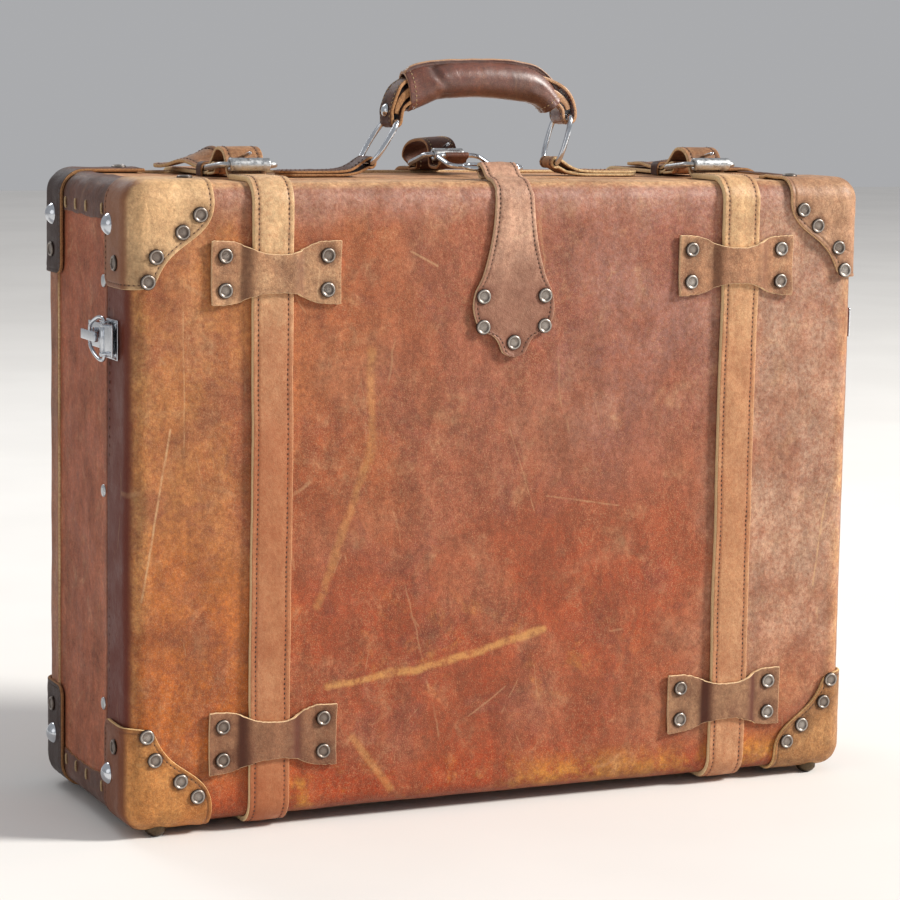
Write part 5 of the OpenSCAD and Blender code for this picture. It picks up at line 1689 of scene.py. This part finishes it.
def moving_fittings():
    """Rollers and prongs of the three buckles."""
    for side, name in HAND.items():
        x = side * STRAP_X
        roller("roller_" + name + "_sleeve", "buckle_roller_" + name, "roller_" + name, x,
               FRONT_BAR_Y, FRONT_BAR_H, 30)
        prong("prong_" + name + "_wire", "buckle_prong_" + name, "prong_" + name, x, HEEL_Y,
              HEEL_H, FRONT_BAR_Y, FRONT_BAR_H)
    roller("clasp_roller_sleeve", "clasp_roller", "clasp_roller", 0, CLASP_FRONT_Y,
           CLASP_FRONT_H, 24)
    prong("clasp_prong_wire", "clasp_prong", "clasp_prong", 0, CLASP_HEEL_Y, HEEL_H,
          CLASP_FRONT_Y, CLASP_FRONT_H)


# ------------------------------------------------------------ handle

def ring_top(side):
    """Where a handle ring's upper bar is, in X and above the case's top."""
    lean = math.radians(RING_LEAN[side])
    return np.array([side * RING_X + RING_LONG * math.sin(lean),
                     RING_BAR_H + RING_LONG * math.cos(lean)])


GRIP_LINE = ((-45.5, 62.8), (-38, 65.6), (-30, 68.2), (-20, 70.2), (-8, 71.3), (8, 71.8),
             (26, 71.8), (42, 71.0), (54, 68.9), (63, 65.0), (70, 59.8), (75.5, 53.5))


def grip_sections():
    """Along the grip: middle line, direction across it in X and Z, and the half sizes."""
    line = resample(soften(np.array(GRIP_LINE), 2), step=1.5)
    s = lengths(line)
    total = s[-1]
    t = unit(np.gradient(line, axis=0))
    angle = np.arctan2(t[:, 1], t[:, 0])
    angle = angle * (1 - 0.65 * smooth(26, 0, s))
    out = np.stack([-np.sin(angle), 0 * s, np.cos(angle)], -1)
    centre = np.stack([line[:, 0], 0 * s, TOP + line[:, 1]], -1)
    left, right = smooth(30, 8, s), smooth(total - 27, total - 3, s)
    top = 12.6 + 1.6 * left - 3.6 * right
    under = 13.6 + 1.2 * left - 4.4 * right + 0.8 * np.exp(-((s - total + 38) / 14) ** 2)
    deep = 13.8 - 2.6 * left - 2.4 * right
    return s, centre, out, top, under, deep, left, right


def grip():
    """A padded roll of glossy leather: a squared, stitched flap at the left, a strap end at
    the right, with creases where the padding stops."""
    s, centre, out, top, under, deep, left, right = grip_sections()
    total, n, sides = s[-1], len(s), 64
    a = np.linspace(0, 2 * math.pi, sides + 1)[:-1]
    up, round_y = np.sin(a)[None, :], np.cos(a)[None, :]
    pinch = np.exp(-((s - 24) / 6.5) ** 2) + 0.75 * np.exp(-((s - total + 22) / 6.0) ** 2)
    tall = np.where(up > 0, top[:, None], under[:, None])
    back = np.tile([0.0, 1.0, 0.0], (n, 1))
    base = (centre[:, None] + out[:, None] * (up * 12)[..., None]
            + back[:, None] * (round_y * 12)[..., None])
    slant = np.stack([base[..., 0] * 0.45 + base[..., 2] * 0.35, base[..., 1] * 0.9,
                      base[..., 2] * 0.6], -1)
    folds = waves(slant, 7.0, 131)
    swell = 0.3 * waves(base, 34, 132) + 0.07 * waves(base, 8, 133)
    crease = np.exp(-((s - 25)[:, None] / 3.2 + 0.6 * up) ** 2) * smooth(-0.2, 0.7, up)
    rough = swell + 0.65 * folds * pinch[:, None] - 1.9 * crease
    ends = np.maximum(left, right)[:, None]
    square = 1 + 0.13 * ends * np.abs(np.sin(2 * a))[None, :]
    thin = 1 - 0.45 * ends * np.clip(up, 0, 1) ** 1.6
    high = (tall * square + rough) * up
    wide = (deep[:, None] * square * thin + rough) * round_y
    ring = centre[:, None] + out[:, None] * high[..., None] + back[:, None] * wide[..., None]
    mouths = []
    for end, way in ((0, 1), (n - 1, -1)):
        mid = ring[end].mean(axis=0)
        loops = []
        for depth, k in ((-0.25, 0.975), (-0.25, 0.86), (0.4, 0.83), (5.0, 0.8), (9.0, 0.76)):
            shift = centre[end + way * int(round(max(depth, 0) / 1.5))] - centre[end]
            axis = way * np.array([out[end][2], 0, -out[end][0]])
            shift = shift if depth > 1 else axis * depth
            loops.append(mid + (ring[end] - mid) * k + shift)
        mouths.append(loops)
    rings = np.array(mouths[0][::-1] + list(ring) + mouths[1])
    count = len(rings)
    faces = grid_faces(count, sides, wrap_m=True)
    faces += [list(range(sides))[::-1], [(count - 1) * sides + k for k in range(sides)]]
    edge, dark = np.zeros((count, sides)), np.zeros((count, sides))
    for k in (3, 4, count - 5, count - 4):
        edge[k] = 1
    # Painted shade inside the open ends of the roll, and in the hollows of its folds and its crease.
    dark[:3], dark[-3:] = 1, 1
    dark[5:5 + n] = np.clip(0.5 * np.clip(-folds, 0, 1) * pinch[:, None] + 0.8 * crease, 0, 1)
    tint = np.zeros((count, sides))
    # Painted shade: the underside of the roll is darker, less so at the flap end.
    tint[5:5 + n] = 0.25 * (1 - up) * (1 - left[:, None])
    piece = Piece()
    piece.add(rings, faces, 0, edge=edge, dark=dark, tint=tint)
    for k in (3, n - 4):
        loop_line = np.concatenate([ring[k], ring[k][:1]])
        stitches(piece, loop_line, unit(loop_line - centre[k]), mat=1, pitch=3.4, r=0.42, seed=k)
    grip_fin(piece, s, centre, out, back, top)
    roll = piece.build("grip_roll", [GRIP, THREAD_PALE], "handle", "grip_leather", "grip")


def grip_fin(piece, s, centre, out, back, top):
    """The sewn edge of the roll, standing along its top."""
    lean = math.radians(-16)
    way = out * math.cos(lean) + back * math.sin(lean)
    face = out * math.sin(lean) - back * math.cos(lean)
    taper = smooth(0, 5, s) * smooth(s[-1], s[-1] - 8, s)
    tall = (1.0 + 1.9 * taper) * (1 + 0.12 * waves_1d(s, 18, 143))
    middle = centre + way * (top + 0.2)[:, None] - face * 1.3
    ribbon(piece, middle, way, face, 2.6, tall, 2.6, stitch=(1.7,), seed=141, thread=1,
           step=2, lumps=0.3, pitch=3.4)


def plies(side):
    """Lines of the strap at one end of the handle: round the ring's bar, and a middle ply."""
    if side < 0:
        top, r = ring_top(side), 2.6
        outer = [(-34, 71), (-47, 73), (-56.5, 64), top + [-r, 5]]
        inner = [top + [r, 4], top + [4, 12], (-44.5, 57), (-36, 59)]
        core = [(-36, 63), (-47, 62), (-53.5, 56), top + [0.4, 5.2]]
    else:
        top, r = ring_top(side), 4.0
        outer = [(62, 73), (74, 71), (87, 64), top + [r, 4]]
        inner = [top + [-r, 3], top + [-5, 8], (76.5, 55), (70, 60)]
        core = [(66, 62), (76, 61), (84, 56), top + [-0.4, 4.8]]
    turn = np.radians(np.linspace(0, -180, 16))
    under = [top + r * np.array([side * math.cos(q), math.sin(q)]) for q in turn]
    wrap = np.concatenate([bezier(outer, 24), under, bezier(inner, 14)[1:]])
    return wrap, bezier(core, 14)


def handle_end(side):
    """One end of the handle's strap, folded round its ring and riveted."""
    wrap, core = plies(side)
    pts = even(wrap, 1.4)
    s = lengths(pts)
    centre, across, out = upright_frames(pts, side)
    near = smooth(24, 8, s) * 3.4 + smooth(s[-1] - 12, s[-1], s) * 2.0
    half = 10.8 + 0.35 * waves_1d(s, 22, 151 + side) - near
    piece = Piece()

    def lift(tt, d):
        curl = 0.35 * waves_1d(s, 12, 154 + side, 14)[:, None]
        return curl * smooth(7, 0, d) * smooth(5, 14, s)[:, None]

    ribbon(piece, centre, across, out, half, half, 2.5, stitch=(2.4,), seed=152 + side,
           thread=1, step=2.2, lumps=0.35, lift=lift, pitch=3.4)
    middle, across_middle, out_middle = upright_frames(even(core, 1.6), side)
    thick = np.interp(np.linspace(0, 1, len(middle)), [0, 0.5, 1], [7.5, 5.5, 3.4])
    ribbon(piece, middle - out_middle * 1.8, across_middle, out_middle, 9.2, 9.2, thick,
           seed=158 + side, step=2.4, lumps=0.35)
    name = HAND[side]
    spots = np.where((s < s[-1] * 0.55) & (pts[:, 1] > (51 if side > 0 else 48)))[0]
    i = int(spots[-1])
    rivet = Piece()
    spot = centre[i] + out[i] * 2.4
    lathe(rivet, spot, out[i], scaled(STUD_LOW, 0.62), tint=0.1, seed=160 + side)
    press(piece, [(spot, out[i], 0.78)])
    piece.build("handle_strap_" + name, [DARK if side < 0 else GRIP, THREAD_PALE], "handle",
                "dark_leather", "handle_strap")
    rivet.build("handle_rivet_" + name, [STEEL], "handle", "antique_metal", "handle_rivets")


# ------------------------------------------------------------ ends of the case

STUD = ((7.8, -0.6), (7.8, 0.25), (7.5, 0.75), (6.9, 1.6), (6.1, 2.5), (5.1, 3.35), (4.0, 4.05),
        (2.8, 4.55), (1.5, 4.88), (0.0, 5.0))
STUD_LOW = ((7.8, -0.6), (7.8, 0.3), (7.3, 0.9), (6.2, 1.7), (4.6, 2.4), (2.8, 2.85), (0.0, 3.1))
FLAT_RIVET = ((4.5, -0.4), (4.5, 0.5), (4.2, 0.95), (3.6, 1.25), (2.0, 1.4), (0.0, 1.42))


def studs():
    """The bright domes on the end walls."""
    for node, body, y, out in (("front_studs", "lid", SEAM - 10, GUARD_T),
                               ("rear_studs", "case", BACK - 26, GUARD_T + WRAP)):
        piece = Piece()
        for side in (-1, 1):
            for z in (FOOT + 34, TOP - 30):
                lathe(piece, (side * (END + out), y, z), (side, 0, 0), STUD, segments=40)
        piece.build(node + "_domes", [STEEL], body, "bright_steel", node)


def rim_rivets():
    """Three flat rivets in each end wall beside the seam."""
    for side in (-1, 1):
        for z in (88, 241, 389):
            lathe(CASE_RIVETS.piece, (side * END, SEAM + 7, z), (side, 0, 0), FLAT_RIVET,
                  tint=0.0, segments=24, mat=1)


def end_flap(side, up, seed):
    """Dark leather folded over the end's top or bottom edge, held by staple stitches."""
    over = np.linspace(22, EDGE_R, 4)
    turn = EDGE_R * (1 - np.tan(np.radians(np.linspace(0, 45, 8))))
    down = np.concatenate([turn[::-1][1:], np.linspace(EDGE_R, 22.5, 4)[1:]])
    tail = np.array([24, 25.2, 26.2, 26.8, 27.0])
    us = np.concatenate([over, turn[1:], np.zeros(len(down) + len(tail))])
    vs = np.concatenate([np.zeros(len(over) + len(turn) - 1), down, tail])
    ys = np.unique(np.concatenate([np.linspace(SEAM + 1, BACK - GUARD_REAR - 1, 44),
                                   [SEAM + 1.3, SEAM + 2, BACK - GUARD_REAR - 2]]))
    m, n = len(us), len(ys)
    wave = 1.3 * waves_1d(ys, 38, seed) + 0.4 * waves_1d(ys, 11, seed + 1)
    v = vs[:, None] + wave[None, :] * smooth(14, 27, vs)[:, None]
    p = np.stack([np.broadcast_to(us[:, None], (m, n)), v,
                  np.broadcast_to(ys[None, :], (m, n))], -1)
    d = np.minimum(27.0 - vs[:, None], np.minimum(ys - ys[0], ys[-1] - ys)[None, :])
    d = np.minimum(d, (22.0 - us[:, None]) + vs[:, None] * 3)
    box = np.stack([side * (END - p[..., 0]), p[..., 2],
                    TOP - p[..., 1] if up > 0 else FOOT + p[..., 1]], -1).reshape(-1, 3)
    loose = 0.7 * smooth(6, 0, d) * smooth(-0.2, 0.9, waves(box.reshape(m, n, 3), 30, seed + 2))
    h = edge_profile(d, 1.25, 0.5) + 0.2 * waves(box.reshape(m, n, 3), 14, seed + 3) \
        * smooth(0, 3, d) + loose
    piece = Piece()
    slab(piece, skin(box, h.ravel() - 0.1), skin(box, loose.ravel() - 0.45), grid_faces(m, n),
         edge=np.clip(1.1 - d / 0.4, 0, 1).ravel() * 0.7)
    for y in (-42, -5, 20, 44):
        z0, z1 = (TOP - 24.5, TOP - 16) if up > 0 else (FOOT + 16, FOOT + 24.5)
        bar = np.linspace(0, 1, 9)
        path = np.stack([np.full(9, side * (END + 1.5)) + side * 0.35 * np.sin(bar * math.pi)
                         - side * 1.2 * (np.abs(bar - 0.5) > 0.49),
                         np.full(9, float(y)) + (bar - 0.5) * 0.8, z0 + (z1 - z0) * bar], -1)
        tube(piece, path, np.where(np.abs(bar - 0.5) > 0.49, 0.4, 0.85), mat=1, sides=8,
             up=(0, 1, 0))
    name = f"end_flap_{'top' if up > 0 else 'bottom'}_{HAND[side]}"
    piece.build(name, [DARK, THREAD_PALE], "case", "dark_leather", "end_flaps")


# ------------------------------------------------------------ latches

def block(piece, lo, hi, r, mat=0, step=4.0, bend=None):
    """A box with rounded edges, its faces divided so that it can be bent."""
    lo, hi = np.array(lo, float), np.array(hi, float)
    lines = []
    for k in range(3):
        inner = max(2, int((hi[k] - lo[k] - 2 * r) / step) + 1)
        turn = r * np.tan(np.radians([45, 30, 15, 0]))
        lines.append(np.concatenate([lo[k] + r - turn[:-1], np.linspace(lo[k] + r, hi[k] - r, inner),
                                     hi[k] - r + turn[::-1][1:]]))
    points, faces = [], []
    for k in range(3):
        i, j = [q for q in range(3) if q != k]
        for value in (lo[k], hi[k]):
            a, b = np.meshgrid(lines[i], lines[j], indexing="ij")
            p = np.zeros((*a.shape, 3))
            p[..., i], p[..., j], p[..., k] = a, b, value
            faces += [[q + sum(len(x) for x in points) for q in f] for f in grid_faces(*a.shape)]
            points.append(p.reshape(-1, 3))
    p = np.concatenate(points)
    p, _, faces = weld(p, np.zeros(len(p)), faces)
    q = np.clip(p, lo + r, hi - r)
    p = q + unit(p - q) * r
    if bend is not None:
        p = bend(p)
    piece.add(p, faces, mat)


LATCH_Z = 350.0
LATCH_RIVET = ((1.9, -0.2), (1.9, 0.3), (1.3, 0.8), (0, 1.0))


def latch(side, name):
    """A toggle latch: base plate, lever, wire bail with its block, and catch."""
    def world(p):
        w = np.array(p, float).reshape(-1, 3).copy()
        w[:, 0] = side * (END + w[:, 0])
        w[:, 2] += LATCH_Z
        return w

    base = Piece()
    block(base, (0, -76, -14), (1.2, -51.4, 14), 0.5)
    for z in (-12.3, 12.3):
        block(base, (0.4, -57.6, z - 0.7), (6.6, -52.4, z + 0.7), 0.6)
        lathe(base, (1.1, -72.5, z * 0.75), (1, 0, 0), LATCH_RIVET, segments=16)
    tube(base, [(4.3, -55, -12.9), (4.3, -55, 0), (4.3, -55, 12.9)], 1.45, sides=14)
    base.v = [world(v) for v in base.v]
    base.build("latch_base_" + name, [STEEL], "lid", "bright_steel", "latch_bases")

    lever = Piece()

    def curve(p):
        far = np.clip((-57 - p[:, 1]) / 23, 0, 1)
        p = p.copy()
        p[:, 0] += 0.9 * np.sin(far * math.pi) * (1 - (p[:, 2] / 13) ** 2) + 1.6 * far ** 6
        return p

    block(lever, (3.7, -80, -11.2), (5.2, -55.5, 11.2), 0.65, step=2.0, bend=curve)
    tube(lever, [(4.3, -55, -11.2), (4.3, -55, 0), (4.3, -55, 11.2)], 2.6, sides=20)
    for z in (-1, 1):
        lo, hi = sorted((z * 8.8, z * 11.2))
        block(lever, (4.8, -66.6, lo), (9.4, -61.4, hi), 0.6)
    lever.v = [world(v) for v in lever.v]
    lever.build("latch_lever_plate_" + name, [STEEL], "lever_" + name, "bright_steel",
                "latch_lever_" + name)

    bail = Piece()
    out = 6.7
    path = [(out, -64, 9.0), (out, -64, 15), (out, -50, 15), (out, -31, 8), (out, -31, 0),
            (out, -31, -8), (out, -50, -15), (out, -64, -15), (out, -64, -9.0)]
    tube(bail, resample(soften(np.array(path, float), 2), step=1.0), 1.3, sides=14)
    block(bail, (out - 1.5, -46, -3.6), (out + 1.9, -15, 3.6), 0.8, step=3)
    bail.v = [world(v) for v in bail.v]
    bail.build("latch_bail_wire_" + name, [STEEL], "bail_" + name, "bright_steel",
               "latch_bail_" + name)

    catch = Piece()
    block(catch, (0, -35, -9), (1.0, -9, 9), 0.45)
    block(catch, (0.2, -28, -5), (4.2, -25, 5), 0.7)
    for z in (-5.5, 5.5):
        lathe(catch, (0.95, -12.5, z), (1, 0, 0), LATCH_RIVET, segments=16)
    catch.v = [world(v) for v in catch.v]
    catch.build("latch_catch_" + name, [STEEL], "case", "bright_steel", "latch_catches")


# ------------------------------------------------------------ camera, floor and light

CAMERA_AT = (-0.9015, -1.9845, 0.549)      # metres
CAMERA_FORWARD = (0.4084, 0.9028, -0.1349)
CAMERA_RIGHT = (0.9111, -0.4122, 0.0)
CAMERA_ROLL = 0.94
CAMERA_LENS = 116.1


def camera():
    """The camera at the photograph's viewing angle."""
    forward = Vector(CAMERA_FORWARD).normalized()
    right = Vector(CAMERA_RIGHT).normalized()
    up = right.cross(forward).normalized()
    roll = math.radians(CAMERA_ROLL)
    across = right * math.cos(roll) + up * math.sin(roll)
    head = up * math.cos(roll) - right * math.sin(roll)
    data = bpy.data.cameras.new("photo_camera")
    data.lens = CAMERA_LENS
    data.sensor_width = 36.0
    data.clip_start = 0.05
    data.clip_end = 60.0
    cam = bpy.data.objects.new("photo_camera", data)
    basis = Matrix((across, head, -forward)).transposed()
    cam.matrix_world = Matrix.Translation(CAMERA_AT) @ basis.to_4x4()
    bpy.context.collection.objects.link(cam)
    bpy.context.scene.camera = cam


def area(name, where, aim, size, power, colour=(1, 1, 1)):
    """A round soft light that looks at a point."""
    data = bpy.data.lights.new(name, "AREA")
    data.shape = "DISK"
    data.size = size
    data.energy = power
    data.color = colour
    lamp = bpy.data.objects.new(name, data)
    lamp.location = where
    lamp.rotation_euler = (Vector(aim) - Vector(where)).to_track_quat("-Z", "Y").to_euler()
    bpy.context.collection.objects.link(lamp)


def stage():
    """The floor, the pale surroundings and the three lights."""
    mesh = bpy.data.meshes.new("floor")
    mesh.from_pydata([(-9, -9, 0), (9, -9, 0), (9, 9, 0), (-9, 9, 0)], [], [(0, 1, 2, 3)])
    mesh.materials.append(floor_material())
    floor = bpy.data.objects.new("floor", mesh)
    bpy.context.collection.objects.link(floor)
    world = bpy.data.worlds.new("studio")
    bpy.context.scene.world = world
    world.use_nodes = True
    sky = world.node_tree.nodes["Background"]
    sky.inputs["Color"].default_value = (0.96, 0.97, 1.0, 1)
    sky.inputs["Strength"].default_value = 0.42
    area("key", (5.4, -2.8, 3.9), (0, 0, 0.22), 1.5, 740.0, (1.0, 0.97, 0.92))
    area("fill", (-2.6, -0.9, 1.0), (-0.1, 0, 0.25), 1.6, 5.0, (1.0, 0.97, 0.94))
    area("rim", (-0.6, 2.3, 2.2), (0, 0, 0.3), 1.2, 18.0)
    bpy.context.scene.view_settings.view_transform = "Standard"


# ------------------------------------------------------------ making everything

def make_shells():
    """The leather covers, and materials for the boards and linings."""
    lid_leather()
    case_leather()
    back_leather()
    for node in ("lid_board", "case_board"):
        paint(node, BOARD)
    for node in ("lid_lining", "case_lining"):
        paint(node, LINING)


def make_guards():
    """Four front corner guards in their own shades, and four dark rear ones."""
    tan = [GUARD_TAN, THREAD_DARK]
    orange = [GUARD_ORANGE, THREAD_DARK]
    brown = [GUARD_BROWN, THREAD_DARK]
    guard(-1, 1, False, LID_RIVETS, tan, 201, 0.2)
    guard(1, 1, False, LID_RIVETS, brown, 202, 1.6)
    guard(-1, -1, False, LID_RIVETS, orange, 203, 0.8)
    guard(1, -1, False, LID_RIVETS, [GUARD_OLD, THREAD_DARK], 204, 0.8)
    dark = [DARK, THREAD_DARK]
    for side in (-1, 1):
        for up in (-1, 1):
            guard(side, up, True, CASE_RIVETS, dark, 205 + side + 2 * up, 0.6)


def make_straps():
    """Long straps, the pieces across the lid's hinge, and the keepers."""
    for side in (-1, 1):
        for make in (front_strap, rear_strap):
            piece, rest = make(side)
            piece.build(*rest)
        strap_patch(side)
        for z in (KEEPER_LOW, KEEPER_HIGH):
            keeper(side, z, False, LID_RIVETS, int(300 + side * 3 + z))
            keeper(side, z, True, CASE_RIVETS, int(340 + side * 3 + z))


def make_top():
    """The hasp tab, the loose leather on the top and the handle."""
    hasp_tab()
    for side in (-1, 1):
        strap_tail(side)
        strap_loop(side)
        chape(side)
        handle_end(side)
    clasp_strap()
    clasp_billet()
    grip()


def make_fittings():
    """Wire, rollers, studs, latches and end flaps, and paint for the plain metal."""
    wire_fittings()
    moving_fittings()
    studs()
    rim_rivets()
    for side, name in HAND.items():
        latch(side, name)
        for up in (-1, 1):
            end_flap(side, up, 170 + side * 3 + up)
    for node in ("hinge_leaves_lid", "hinge_leaves_case", "hinge_pins"):
        paint(node, HINGE)
    for node in ("front_feet", "rear_feet"):
        paint(node, FOOT_METAL)
    paint("closing_lip", SIDE)


def main():
    """Everything in order.  The rivets come last, once all their places are known."""
    camera()
    stage()
    make_shells()
    make_straps()
    make_guards()
    make_top()
    make_fittings()
    LID_RIVETS.piece.build("rivet_caps_lid", [RIVET, SATIN], "lid", "antique_metal", "lid_rivets")
    CASE_RIVETS.piece.build("rivet_caps_case", [RIVET, SATIN], "case", "antique_metal",
                            "case_rivets")


main()
